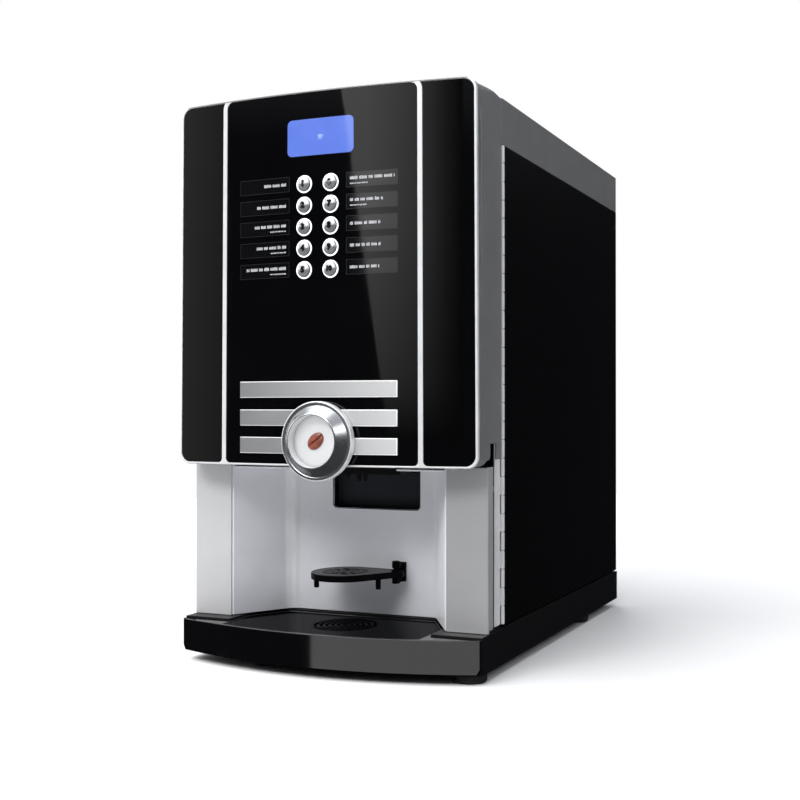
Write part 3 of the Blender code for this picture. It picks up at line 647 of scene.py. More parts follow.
def soften(obj, bevel, segments=2, weld=False):
    if weld:
        mod = obj.modifiers.new("weld", "WELD")
        mod.merge_threshold = 2e-06
    if bevel:
        mod = obj.modifiers.new("bevel", "BEVEL")
        mod.width = bevel
        mod.segments = segments
        mod.limit_method = "ANGLE"
        mod.angle_limit = radians(38)
    mod = obj.modifiers.new("normals", "WEIGHTED_NORMAL")
    mod.keep_sharp = True


def piece(name, solid, finish, body, replaces=(), bevel=0, segments=2, angle=35):
    """Makes a finished piece from a solid, or from a list of solids; finish is a key of M, a
    material, or a tuple of them."""
    bm = merge(*solid) if isinstance(solid, list) else solid
    shift(bm, (0, EDGE_Y, 0))
    obj = new_object(name, bm, [M.get(f, f) for f in (finish if isinstance(finish, tuple) else (finish,))])
    obj.data.shade_smooth()
    obj.data.set_sharp_from_angle(angle=radians(angle))
    soften(obj, bevel, segments)
    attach(obj, body)
    if replaces:
        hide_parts(*replaces)
    return obj


def dress(node, finish, bevel=0, segments=2):
    """Keeps a CAD node, with a finished material and eased edges."""
    obj = frame["nodes"][node]
    obj.data.materials.clear()
    obj.data.materials.append(M[finish])
    soften(obj, bevel, segments, weld=True)


camera()
studio()
floor()
M = make_materials()


# ================= door front =================
LOW, HIGH = DOOR_LOW + RIM_LOW, DOOR_TOP - RIM_TOP
OUTER_R, INNER_R, TURN_R = 0.0122, 0.0055, 0.0085
FIELDS = {
    "left": (-HALF_W + RIM_LEFT, STRIP_LEFT - STRIP_HALF, (0, OUTER_R, OUTER_R, INNER_R)),
    "center": (STRIP_LEFT + STRIP_HALF, STRIP_RIGHT - STRIP_HALF, (TURN_R, TURN_R, INNER_R, INNER_R)),
    "right": (STRIP_RIGHT + STRIP_HALF, HALF_W - RIM_RIGHT, (OUTER_R, 0, INNER_R, OUTER_R)),
}
BUTTON_X = (-0.0157, 0.0195)
BUTTON_TOP, BUTTON_PITCH, BUTTON_ROWS = 0.5765, 0.0253, 5
BUTTON_R, GUIDE_R = 0.0086, 0.0102
BUTTONS = [(x, BUTTON_TOP - k * BUTTON_PITCH) for x in BUTTON_X for k in range(BUTTON_ROWS)]
DISPLAY_LOW, DISPLAY_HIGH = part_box("display_lens")
MEDAL = Vector((0.0068, -BULGE - 0.0026, 0.2745))


def field(side, inset=0):
    """Outline of one glass field. Where a strip turns over the centre field's top corner,
    the outer field's corner follows it."""
    a, b, radii = FIELDS[side]
    shape = outline(a + inset, b - inset, LOW + inset, HIGH - inset, radii)
    if side == "center":
        return shape
    hook = []
    r = TURN_R + 2 * STRIP_HALF + inset
    start = b if side == "left" else a
    toward = 1 if side == "left" else -1
    last = asin((TURN_R - inset) / r)
    for k in range(9):
        t = last * (8 - k) / 8
        hook.append((start + toward * (r - inset - r * cos(t)), HIGH - TURN_R + r * sin(t)))
    if side == "left":
        return shape[1:] + list(reversed(hook))
    at = max(range(len(shape)), key=lambda k: shape[k][1] - 10 * abs(shape[k][0] - a - inset))
    return shape[:at] + hook + shape[at + 1:]


def door_front():
    windows = [field(side) for side in FIELDS]
    whole = outline(-HALF_W, HALF_W, DOOR_LOW, DOOR_TOP, CORNER_R, 14)
    bm = front_sheet(whole, windows, 0, SILVER_DEEP, 0.0004)
    # the rim's top, bottom and left edges get the dimmed silver, painted shade; the right end stays bright
    for f in bm.faces:
        middle = f.calc_center_median()
        edge = middle.z > HIGH + 0.0001 or middle.z < DOOR_LOW + 0.0006 or middle.x < -HALF_W + 0.0007
        f.material_index = 1 if edge and middle.x < HALF_W - 0.012 else 0
    piece("door_surround", bm, ("silver", "rim_dim"), "door", ["door_frame"])
    bm = front_sheet(whole, windows, SILVER_DEEP + 0.0001, FRAME_DEEP - SILVER_DEEP - 0.0001, 0)
    piece("door_surround_back", bm, "grey", "door")
    for side in FIELDS:
        shape = field(side, GAP)
        holes = []
        if side == "center":
            holes = [disc(x, z, GUIDE_R + GAP) for x, z in BUTTONS]
            holes.append(outline(DISPLAY_LOW.x - GAP, DISPLAY_HIGH.x + GAP, DISPLAY_LOW.z - GAP,
                DISPLAY_HIGH.z + GAP, 0.0062))
        bm = front_sheet(shape, holes, 0.0003, 0.0027, 0.0004)
        piece("glass_panel_" + side, bm, "piano_black", "door", ["front_panel_" + side])


def cup_icon(x, z, size):
    """A plain cup: bowl, handle and saucer, as flat shapes."""
    bowl = [(x + size * a, z + size * b) for a, b in ((-0.45, 0.35), (-0.33, -0.2), (-0.18, -0.32), (0.18, -0.32),
        (0.33, -0.2), (0.45, 0.35))]
    grip, hole = [disc(x + size * 0.52, z + size * 0.06, size * r, 20) for r in (0.2, 0.11)]
    saucer = outline(x - size * 0.55, x + size * 0.55, z - size * 0.5, z - size * 0.42, size * 0.03, 3)
    return [(bowl, []), (grip, [hole]), (saucer, [])]


def display():
    low, high = DISPLAY_LOW, DISPLAY_HIGH
    bm = front_sheet(outline(low.x, high.x, low.z, high.z, 0.006), [], 0.0006, 0.0024, 0.0004)
    piece("display_window", bm, display_material(), "door", ["display_lens"])
    icon = [front_sheet(s, h, 0.0005, 0.0003, 0) for s, h in cup_icon((low.x + high.x) / 2, (low.z + high.z) / 2,
        0.0066)]
    pale = surface("display_icon", (0.12, 0.16, 0.4), 0.3, glow=((0.19, 0.26, 0.72), 1), bump=(300, 0.01))
    piece("display_cup_icon", icon, pale, "door")


CAP = pairs(0, -8.4, 8.6, -8.4, 8.6, 1.2, 8.3, 1.9, 7.7, 2.3, 6.8, 2.6, 5.5, 3, 4.2, 3.3, 2.8, 3.6, 1.4, 3.7, 0, 3.8)


def keypad():
    rings = [block(-0.0331, 0.0369, -BULGE + 0.0038, -BULGE + 0.0056, 0.461, 0.592)]
    for x, z in BUTTONS:
        inner, outer = BUTTON_R + GAP, GUIDE_R
        rings.append(turned([(inner, -0.0036), (outer, -0.0036), (outer, 0.0001), (outer - 0.0003, 0.0005),
            (inner + 0.0005, 0.0007), (inner, 0.0003)], (x, bulge(x), z), n=56))
    piece("button_light_rings", rings, "ring", "door", ["button_light_guide"])
    for k, (x, z) in enumerate(BUTTONS):
        r = BUTTON_R
        cap = turned(CAP, (x, -BULGE, z), n=56)
        for v in cap.verts:
            away = hypot(v.co.x - x, v.co.z - z)
            if away < 0.0056 and v.co.y < -BULGE:
                v.co.y = -BULGE - 0.0036 + 0.14 * abs(v.co.z - z)
        figure = glyph(str(k + 1), 0.0092 if k < 9 else 0.008, x, -BULGE - 0.0037, z, 0.0012, 0.00055)
        # the cap's rim takes a near-black copy of the metal, painted shade in the gap inside the ring
        for f in cap.faces:
            middle = f.calc_center_median()
            away = hypot(middle.x - x, middle.z - z)
            # the face is a shallow roof, so its halves catch light differently; the lower half also takes the darker
            # copy, painted shade
            f.material_index = 2 if away > r - 0.0002 else 3 if away < r - 0.0004 and middle.z < z else 0
        number = "%02d" % (k + 1)
        piece("key_" + number + "_cap", [cap, (figure, 1)], ("button", "ink", "cap_edge_painted_shade", "button_painted_shade"),
            "key_" + number, ["button_" + number])


LABEL_X = ((-0.1064, -0.0358), (0.0399, 0.1052))
LABEL_H, LABEL_UP = 0.018, 0.0012
LABEL_RUN = (0.031, 0.042, 0.044, 0.041, 0.056, 0.056, 0.041, 0.038, 0.038, 0.037)


def labels():
    """Insert windows beside the buttons: rows of plain ticks stand where words were."""
    random.seed(7)
    for k, (bx, bz) in enumerate(BUTTONS):
        left = bx < 0
        x0, x1 = LABEL_X[0] if left else LABEL_X[1]
        z = bz + LABEL_UP
        window = front_sheet(outline(x0, x1, z - LABEL_H / 2, z + LABEL_H / 2, 0.0008, 3), [], 0.00012, 0.0003, 0)
        frame_line = [outline(x0 + g, x1 - g, z - LABEL_H / 2 + g, z + LABEL_H / 2 - g, 0.0008, 3)
            for g in (0.0002, 0.0006)]
        parts = [(window, 0), (front_sheet(frame_line[0], [frame_line[1]], 6e-05, 0.0002, 0), 2)]
        toward = -1 if left else 1
        start = x1 - 0.0052 if left else x0 + 0.0052
        rows = ((0, 0.0038, LABEL_RUN[k]),) if k in (0, 1, 7, 8, 9) else ((0.002, 0.0038, LABEL_RUN[k]),
            (-0.0044, 0.0018, 0.022))
        for up, high, run in rows:
            at, left_in_word = 0, random.randint(3, 7)
            while at < run:
                tall = high * random.uniform(0.78, 1)
                low_z = z + up - high / 2
                wide = 0.15 * high
                a, b = sorted((start + toward * at, start + toward * (at + wide)))
                tick = outline(a, b, low_z, low_z + tall, 0.0001, 1)
                parts.append((front_sheet(tick, [], 4e-05, 0.0002, 0), 1))
                left_in_word -= 1
                at += 0.38 * high if left_in_word else 0.85 * high
                if not left_in_word:
                    left_in_word = random.randint(3, 7)
        # the tick marks use the print finish with its painted glow
        piece("label_%02d" % (k + 1), parts, ("label", "print", "label_edge"), "door")


def trim_bars():
    bars = []
    for node in ("trim_bar_1", "trim_bar_2", "trim_bar_3"):
        low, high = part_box(node)
        shape = outline(low.x, high.x, low.z, high.z, 0.0006, 3)
        bm = front_sheet(shape, [], -0.0021, 0.0018, 0.0016)
        bm.normal_update()
        # the top and bottom faces take the near-white edge finish, a painted highlight
        for f in bm.faces:
            f.material_index = 1 if abs(f.normal.z) > 0.2 else 0
        bars.append(piece(node + "_brushed", bm, ("bar", "edge"), "door", [node]))
    glint = area("bar_glint", (2.6, -1.1, 0.6), (0.05, -0.28, 0.36), (0.9, 0.9), 110)
    only_on(glint, bars)


def medallion():
    """A polished ring: low wall, shoulder and steep cone round a sunk, lit lens."""
    r = 0.0465
    profile = pairs(0, 0, 46, 0, 46.5, 0.5, 46.5, 7.2, 46.1, 7.9, 45.3, 8.3, 43.1, 8.5, 42.4, 8.3, 42, 7.9, 41.6,
        8.4, 33, 18.1, 32.4, 18.9, 31.7, 19.4, 31.1, 19.5, 30.5, 19.3, 30.2, 18.7, 30.2, 5.4, 0, 5.4)
    bm = turned(profile, MEDAL, n=160)
    for f in bm.faces:
        middle = f.calc_center_median()
        away = hypot(middle.x - MEDAL.x, middle.z - MEDAL.z)
        f.material_index = 1 if away > r - 0.0009 or (0.03 < away < 0.0304 and middle.y < MEDAL.y - 0.006) else 0
    piece("medallion_polished_ring", bm, ("cone", "bezel"), "door", ["medallion_ring"])
    lens = 0.0299
    profile = pairs(0, 5.8, 29.9, 5.8, 29.9, 6.6, 29.3, 7, 22, 7.5, 12, 7.9, 0, 8)
    centre = (MEDAL.x, EDGE_Y + MEDAL.y - 0.008, MEDAL.z)
    piece("medallion_lit_lens", turned(profile, MEDAL, n=128), lens_material(centre, lens), "door",
        ["medallion_lens"])


def bean_solid(length, width, high, n=40, rings=14, crease=0.5):
    """Half a coffee bean: a dome with an S-shaped crease along its middle. It lies in
    (x, z), long along z, and rises towards the user."""
    bm = bmesh.new()
    grid = []
    for j in range(rings + 1):
        s = j / rings
        row = []
        for k in range(n):
            t = 2 * pi * k / n
            px, pz = s * cos(t), s * sin(t)
            up = sqrt(max(0, 1 - s * s)) ** 0.8
            middle = px - 0.1 * sin(2.6 * pz)
            up *= 1 - crease * exp(-(middle / 0.11) ** 2)
            row.append((0.5 * width * px, -high * up, 0.5 * length * pz))
        grid.append([bm.verts.new(p) for p in (row if j else row[:1])])
    for one, two in zip(grid, grid[1:]):
        stitch(bm, one, two)
    bm.faces.new(grid[-1])
    outward(bm)
    return bm


def emblem():
    bm = bean_solid(0.024, 0.017, 0.0036, n=64, rings=22, crease=0.66)
    turn_about(bm, 48, "Y")
    shift(bm, (MEDAL.x, MEDAL.y - 0.0081, MEDAL.z))
    mat = surface("bean_red_brown", (0.2, 0.05, 0.03), 0.34, spec=0.5, bump=(700, 0.25), mottle=(260, 0.42))
    piece("bean_badge", bm, mat, "door", ["bean_emblem"])


# ================= door body =================
def shell_top(depth):
    """The door's top is nearly level behind its face and drops towards the cabinet."""
    high, low = DOOR_TOP - 0.0015, 0.68
    return high - (high - low) * max(0, (depth - FRAME_DEEP) / (DOOR_BACK - FRAME_DEEP)) ** 1.6


def door_body():
    wall = 0.0015
    front = FRAME_DEEP + 0.0004
    levels = [FRAME_DEEP, 0.024, 0.04, 0.0495, 0.052, DOOR_BACK - 0.0006, DOOR_BACK]

    def ring(bm, level, inset):
        half, top, low = HALF_W - inset, shell_top(level) - inset, DOOR_LOW + 0.001 + inset
        points = []
        tight = min(1, max(0, (level - FRAME_DEEP) / 0.04))
        upper = CORNER_R - inset - (CORNER_R - 0.0042) * tight
        shape = outline(-half, half, low, top, (upper, upper, CORNER_R - inset, CORNER_R - inset), 12)
        for k, (x, z) in enumerate(shape):
            nx, nz = shape[(k + 1) % len(shape)]
            count = 32 if hypot(nx - x, nz - z) > 0.05 else 1
            for s in range(count):
                points.append((x + (nx - x) * s / count, z + (nz - z) * s / count))
        fade = min(1, max(0, (0.045 - level) / 0.035))
        return [bm.verts.new((lean(x, z, fade), bulge(x) + front if level == FRAME_DEEP else level, z))
            for x, z in points]

    bm = bmesh.new()
    outer = [ring(bm, level, 0.0006 if level == DOOR_BACK else 0) for level in levels]
    inner = [ring(bm, level, wall) for level in levels]
    for rings in (outer, list(reversed(inner))):
        for one, two in zip(rings, rings[1:]):
            stitch(bm, one, two)
    stitch(bm, inner[0], outer[0])
    stitch(bm, outer[-1], inner[-1])
    outward(bm)
    bm = carve(bm, [block(-HALF_W + wall, HALF_W - wall, COL_FRONT - 0.0015, 0.1, 0.2, DOOR_LOW + 0.018),
        block(0.195, 0.21, 0.037, 0.0556, 0.2, 0.272), turned(pairs(0, -10, 7.8, -10, 7.8, 10, 0, 10),
        (-HALF_W, 0.045, 0.4), "X", 48)])
    piece("door_case", bm, "grey", "door", ["door_shell"], angle=30)


COL_FRONT = 0.031
COL_BACK = COL_FRONT + 0.002
COL_LOW = 0.054
COL_INNER = 0.1468
NICHE_BACK = 0.105
NICHE_FRONT_HALF, NICHE_BACK_HALF = 0.1445, 0.101


def arc(cx, cy, r, start, end, steps=8):
    return [(cx + r * cos(radians(start + (end - start) * k / steps)),
        cy + r * sin(radians(start + (end - start) * k / steps))) for k in range(steps + 1)]


def columns():
    high = DOOR_LOW - 0.0002
    r = 0.0016
    inner = [(COL_INNER, COL_BACK)] + arc(COL_INNER + 0.0009, COL_FRONT + 0.0009, 0.0009, 180, 270, 4)
    right = inner + arc(HALF_W - r, COL_FRONT + r, r, 270, 360) + [(HALF_W, COL_BACK + 0.001),
        (0.1965, COL_BACK + 0.001), (0.1965, 0.054), (0.1945, 0.054), (0.1945, COL_BACK)]
    bm = plate(right, (), "Z", COL_LOW, high)
    piece("column_right_cover", bm, "steel_v", "door", ["column_right"], bevel=0.0003)
    left = [(-x, y) for x, y in inner + arc(HALF_W - r, COL_FRONT + r, r, 270, 360)]
    left += [(-HALF_W, DOOR_BACK), (-0.1985, DOOR_BACK), (-0.1985, COL_BACK)]
    # the left column takes the lighter-reading copy of the steel, painted light
    bm = plate(left, (), "Z", COL_LOW, high)
    piece("column_left_cover", bm, "steel_left", "door", ["column_left"], bevel=0.0003)
    for side, sign in (("left", -1), ("right", 1)):
        a, b = sorted((sign * (COL_INNER + 0.001), sign * (HALF_W - 0.0015)))
        foot = block(a, b, COL_FRONT + 0.0025, 0.07, COL_LOW - 0.0002, COL_LOW + 0.0016)
        piece("column_%s_plinth" % side, foot, "satin_black", "door", bevel=0.0004)


def niche_line(t, steps=10):
    """Plan of the niche wall, t behind its visible face, from right front to left front. The
    front ends turn outwards behind the columns; the back corner is tighter on the right."""
    y0, y1 = COL_BACK + 0.0003, NICHE_BACK - 0.0015
    run = hypot(NICHE_FRONT_HALF - NICHE_BACK_HALF, y1 - y0)
    ux, uy = (NICHE_FRONT_HALF - NICHE_BACK_HALF) / run, (y1 - y0) / run
    halves = []
    for r in (0.005, 0.012):
        grown = [(0.1505, y0 + min(t, 0.0012)), (NICHE_FRONT_HALF + 0.0002 + 0.8 * t, y0 + min(t, 0.0012))]
        for k in range(steps + 1):
            s = k / steps
            ax, ay = NICHE_BACK_HALF + ux * r * (1 - s), y1 - uy * r * (1 - s)
            bx, by = NICHE_BACK_HALF - r * s, y1
            dx, dy = uy * (1 - s), ux * (1 - s) + s
            size = hypot(dx, dy)
            grown.append((ax * (1 - s) + bx * s + t * dx / size, ay * (1 - s) + by * s + t * dy / size))
        halves.append(grown)
    return halves[0] + [(-x, y) for x, y in reversed(halves[1])]


def niche():
    low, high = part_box("niche_liner")
    wall = plate(niche_line(0) + list(reversed(niche_line(0.0015))), (), "Z", low.z, 0.298)
    window = outline(-0.042, 0.079, 0.1865, 0.296, (0.001, 0.001, 0.0048, 0.0048), 8)
    wall = carve(wall, [plate(window, (), "Y", 0.095, 0.12)])
    # the back left bend takes the brighter copy of the steel, a painted highlight
    for f in wall.faces:
        f.material_index = 1 if -0.107 < f.calc_center_median().x < -0.098 and abs(f.normal.z) < 0.5 else 0
    piece("niche_wall", wall, ("niche", "niche_bend_painted_highlight"), "door", ["niche_liner"], bevel=0.00025)
    edge_y = COL_FRONT + 0.003
    for side, sign, x_in in (("right", 1, 0.0815), ("left", -1, 0.045)):
        shape = [(sign * x_in, edge_y), (sign * 0.1444, edge_y), (sign * 0.1012, 0.103), (sign * x_in, 0.103)]
        ceiling = plate(shape, (), "Z", 0.2385, 0.2405)
        piece("niche_ceiling_" + side, ceiling, "niche", "door", bevel=0.0003)
    lid = plate(pairs(-101, 102.8, -119, 74, 119, 74, 101, 102.8), (), "Z", 0.2982, 0.299)
    piece("niche_crown", lid, "niche", "door", bevel=0.0002)
    grown = outline(-0.0432, 0.0802, 0.1853, 0.239, (0.001, 0.001, 0.0058, 0.0058), 8)
    hole = outline(-0.0423, 0.0793, 0.1862, 0.2381, (0.0008, 0.0008, 0.005, 0.005), 8)
    rim = plate(grown, [hole], "Y", NICHE_BACK - 0.0023, NICHE_BACK - 0.0016)
    piece("outlet_window_rim", rim, "chrome", "door", bevel=0.0002)


SHELF_PIVOT = (0.054, 0.088)
SHELF_MID, SHELF_R = (-0.0015, 0.0604), 0.0418


def cup_shelf():
    cx, cy = SHELF_MID
    sx, sy = SHELF_PIVOT
    along = atan2(sy - cy, sx - cx)
    reach = hypot(sx - cx, sy - cy)

    def teardrop(r_mid, r_hub, n=96):
        wide = acos((r_mid - r_hub) / reach)
        points = []
        for k in range(n + 1):
            t = along + wide + (2 * pi - 2 * wide) * k / n
            points.append((cx + r_mid * cos(t), cy + r_mid * sin(t)))
        for k in range(25):
            t = along - wide + 2 * wide * k / 24
            points.append((sx + r_hub * cos(t), sy + r_hub * sin(t)))
        return points

    slots = []
    for row in range(-3, 4):
        y = cy + row * 0.0078
        half = sqrt(max(0, 0.03 ** 2 - (row * 0.0078) ** 2))
        count = max(1, round(2 * half / 0.0125))
        for k in range(count):
            a = cx - half + 2 * half * k / count + 0.0012
            b = cx - half + 2 * half * (k + 1) / count - 0.0012
            slots.append(outline(a, b, y - 0.0017, y + 0.0017, 0.0016, 4))
    parts = [plate(teardrop(SHELF_R - 0.0006, 0.0092), slots, "Z", 0.11, 0.1122),
        plate(teardrop(SHELF_R - 0.0036, 0.0066), [disc(cx, cy, SHELF_R - 0.0065, 64)], "Z", 0.1068, 0.1101)]
    skirt = bmesh.new()
    rings = []
    for inset, z in ((0.0045, 0.1045), (0.0008, 0.1045), (0, 0.1053), (0, 0.1115), (0.0006, 0.1123),
            (0.0018, 0.1125), (0.0032, 0.1122), (0.0045, 0.111)):
        rings.append([skirt.verts.new((x, y, z)) for x, y in teardrop(SHELF_R - inset, 0.0098 - inset)])
    for one, two in zip(rings, rings[1:] + rings[:1]):
        stitch(skirt, one, two)
    outward(skirt)
    parts.append(skirt)
    parts.append(turned(pairs(3.4, 0, 5.4, 0, 5.8, 0.4, 5.8, 9, 5.4, 9.5, 3.4, 9.5), (sx, sy, 0.1045), "Z", 40))
    for px, py in ((-0.035, 0.0485), (0.0435, 0.061)):
        parts.append(turned(pairs(0, 0, 2.6, 0, 3.2, 0.6, 3.3, 13.5, 0, 13.5), (px, py, 0.0925), "Z", 28))
    for ring in (0.012, 0.0215):
        parts.append(turned([(ring - 0.0005, 0), (ring - 0.0003, 0.0004), (ring + 0.0003, 0.0004),
            (ring + 0.0005, 0)], (cx, cy, 0.1121), "Z", 64))
    piece("cup_shelf_grid", parts, "shelf_black", "shelf", ["cup_shelf"], bevel=0.0003)
    hinge = merge(block(sx - 0.007, sx + 0.007, 0.0985, NICHE_BACK - 0.0018, 0.0975, 0.1215),
        block(sx - 0.0045, sx + 0.0045, sy + 0.002, 0.099, 0.1152, 0.12), block(sx - 0.0045, sx + 0.0045, sy + 0.002,
        0.099, 0.0975, 0.1033), turned(pairs(0, 0, 4.3, 0, 4.9, 0.6, 4.9, 8, 4.3, 8.8, 2, 9.1, 0, 9.1),
        (sx, sy, 0.1154), "Z", 36), turned(pairs(0, 0, 4.3, 0, 4.9, 0.6, 4.9, 6.7, 0, 6.7), (sx, sy, 0.0963), "Z",
        36), turned(pairs(0, 0, 3, 0, 3, 18, 0, 18), (sx, sy, 0.1), "Z", 24))
    piece("cup_shelf_hinge", hinge, "shelf_black", "door", ["shelf_bracket"], bevel=0.0005)


TRAY_LOW, TRAY_TOP = 0.0125, 0.0515
TRAY_HALF = 0.1355
GRID_MID, GRID_R = (0.01, 0.04), 0.041
TRAY_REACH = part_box("drip_tray")[0].y - EDGE_Y


def tray_front(x):
    """Depth of the tray's curved front at x."""
    return 0.006 + (TRAY_REACH - 0.006) * (1 - (x / HALF_W) ** 2)


def tray_line(half, inset, count=60):
    return [(-half + 2 * half * k / count, tray_front(-half + 2 * half * k / count) + inset)
        for k in range(count + 1)]


def inside(half, inset, shoulder, half_back, back, low, high):
    shape = tray_line(half, inset) + [(half, shoulder), (half_back, back), (-half_back, back), (-half, shoulder)]
    return plate(shape, (), "Z", low, high)


def tray():
    shape = tray_line(HALF_W, 0) + [(HALF_W, 0.0115), (TRAY_HALF, 0.0115), (TRAY_HALF, 0.0985), (-TRAY_HALF, 0.0985),
        (-TRAY_HALF, 0.0115), (-HALF_W, 0.0115)]
    bm = carve(plate(shape, (), "Z", TRAY_LOW, TRAY_TOP),
        [block(-TRAY_HALF - 0.0015, TRAY_HALF + 0.0015, 0.0035, 0.12, 0, 0.0188),
        inside(0.1315, 0.0045, 0.0502, 0.1024, 0.0955, 0.047, 0.08), inside(0.1275, 0.009, 0.049, 0.099, 0.092,
        0.0215, 0.08)] + [plate([(s * 0.201, 0), (s * 0.189, 0), (s * 0.201, 0.0205)], (), "Y", -0.05, 0.05)
        for s in (-1, 1)])
    shell = piece("drip_tray_shell", bm, "tray_black", "tray", ["drip_tray"], bevel=0.0007, segments=3)
    glow = area("tray_front_card", (-0.015, -2.878, -0.35), (-0.015, -0.29, -0.35), (2.93, 1.5), 29)
    only_on(glow, [shell])
    gx, gy = GRID_MID
    top = TRAY_TOP - 0.0005
    shape = tray_line(0.1311, 0.0049) + pairs(131.1, 50, 102, 95.1, -102, 95.1, -131.1, 50)
    bm = plate(shape, [disc(gx, gy, GRID_R, 96)], "Z", 0.0474, top)
    piece("drip_cover_plate", bm, "cover_black", "tray_cover", ["drip_cover"], bevel=0.0005)
    rings = []
    section = pairs(-2.1, -2.8, 2.1, -2.8, 2.1, -1, 1.4, -0.3, 0.7, 0, -0.7, 0, -1.4, -0.3, -2.1, -1)
    for k in range(6):
        r = 0.005 + 0.007 * k
        rings.append(turned([(r + x, z) for x, z in section], (gx, gy, top), "Z", 96))
    for k in range(3):
        spoke = block(-0.0025, GRID_R + 0.0006, -0.0014, 0.0014, top - 0.0034, top - 0.0012)
        turn_about(spoke, 90 + 120 * k, "Z")
        shift(spoke, (gx, gy, 0))
        rings.append(spoke)
    piece("drip_grid_rings", rings, "cover_black", "tray_cover", bevel=0)


# ================= cabinet outside =================
def hinge():
    """Piano hinge: many short knuckles, every other one on the door."""
    low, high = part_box("hinge_leaf_cabinet")
    hx, hy = 0.2, 0.0757
    count = 26
    pitch = (high.z - low.z) / count
    knuckles = {0: [], 1: []}
    for k in range(count):
        a, b = low.z + k * pitch + 0.0005, low.z + (k + 1) * pitch - 0.0005
        knuckles[k % 2].append(turned([(0.0012, 0), (0.0021, 0), (0.0024, 0.0004), (0.0024, b - a - 0.0004),
            (0.0021, b - a), (0.0012, b - a)], (hx, hy, a), "Z", 24))
        tab = (0.1962, 0.1982, 0.0766, 0.0783) if k % 2 == 0 else (0.197, 0.1982, 0.0715, 0.0748)
        knuckles[k % 2].append(block(*tab, a, b))
    leaf = block(0.196, 0.1972, 0.0768, 0.095, low.z, high.z)
    pin = rod((hx, hy, low.z + 0.0008), (hx, hy, high.z - 0.0008), 0.0009, 16)
    piece("piano_hinge_cabinet", [*knuckles[0], leaf, pin], "hinge", "cabinet", ["hinge_leaf_cabinet"])
    leaf = block(0.1968, 0.198, 0.056, 0.0722, low.z, high.z)
    piece("piano_hinge_door", [*knuckles[1], leaf], "hinge", "door", ["hinge_leaf_door"])


def screw_head(x, y, z, sign, r=0.003, high=0.0014):
    """A slotted pan-head screw on a face across y; sign gives the way it faces."""
    dome = turned([(0, 0), (r, 0), (r, 0.25 * high), (0.88 * r, 0.62 * high), (0.6 * r, 0.9 * high),
        (0.52 * r, high), (0.5 * r, 0.45 * high), (0, 0.4 * high)], (0, 0, 0), "Z", 24)
    slot = block(-0.5 * r, 0.5 * r, -0.1 * r, 0.1 * r, 0.36 * high, 0.52 * high)
    return aim(merge(dome, slot), Vector((0, sign, 0)), (x, y, z))


def cabinet():
    for node, finish, bevel, segments in (("base", "satin_black", 0.0008, 2), ("side_panel_left", "panel_black",
            0.0005, 2), ("side_panel_right", "panel_black", 0.0005, 2), ("top_frame", "grey", 0.0011, 3),
            ("top_lid", "grey", 0.0008, 3), ("rear_panel", "satin_black", 0.0004, 2),
            ("equipment_plate", "steel_h", 0.0003, 2)):
        dress(node, finish, bevel, segments)
    for node in ("foot_front_left", "foot_front_right", "foot_rear_left", "foot_rear_right"):
        low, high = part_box(node)
        cx, cy, r = (low.x + high.x) / 2, (low.y + high.y) / 2 - EDGE_Y, (high.x - low.x) / 2
        tall = high.z - low.z
        profile = [(0, 0), (r - 0.003, 0), (r - 0.0016, 0.0004), (r - 0.0006, 0.0014), (r, 0.003), (r, 0.0042),
            (r - 0.0008, 0.0046), (r - 0.0008, 0.0052), (r, 0.0056), (r, tall - 0.0008), (r - 0.0008, tall),
            (0, tall)]
        piece(node + "_ribbed", turned(profile, (cx, cy, low.z), "Z", 64), "rubber", "cabinet", [node])


def rear():
    """Louvres, screws and inlets on the back."""
    low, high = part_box("rear_panel")
    back = high.y - EDGE_Y
    blade = pairs(-0.4, -3, 1.6, -3, 2.2, -2.2, 0.4, 2.6, -0.4, 2.6)
    louvres = [plate([(back + y, 0.5 + row * 0.0095 + z) for y, z in blade], (), "X", a, b) for row in range(9)
        for a, b in ((-0.15, -0.055), (0.055, 0.15))]
    piece("rear_louvres", louvres, "satin_black", "cabinet", bevel=0.0003)
    screws = [screw_head(x, back, z, 1) for x in (-0.186, 0, 0.186) for z in (0.068, 0.34, 0.613)]
    screws += [screw_head(x, 0.5815, 0.09, 1, 0.0022, 0.001) for x in (-0.151, -0.099)]
    piece("rear_screws", screws, "zinc", "cabinet")
    plate_shape = outline(0.01, 0.075, 0.13, 0.165, 0.0025, 5)
    piece("rear_blank_plate", plate(plate_shape, (), "Y", back + 0.0001, back + 0.0006), "steel_h", "cabinet",
        bevel=0.0002)
    dress("mains_inlet", "satin_black", 0.0005)
    dress("power_switch", "part_black", 0.0004)
    dress("water_inlet", "brass", 0.0003)
    marks = [glyph("I", 0.0045, 0, 0, 0, 0.0002), glyph("O", 0.004, 0, 0, 0, 0.0002)]
    for mark, z in zip(marks, (0.0933, 0.0867)):
        turn_about(mark, 180, "Z")
        shift(mark, (-0.1095, 0.5814, z))
    # the switch marks use the print finish with its painted glow
    piece("switch_marks", marks, "print", "switch")


# ================= machinery behind the door =================
PLATE_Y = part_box("equipment_plate")[0].y - EDGE_Y


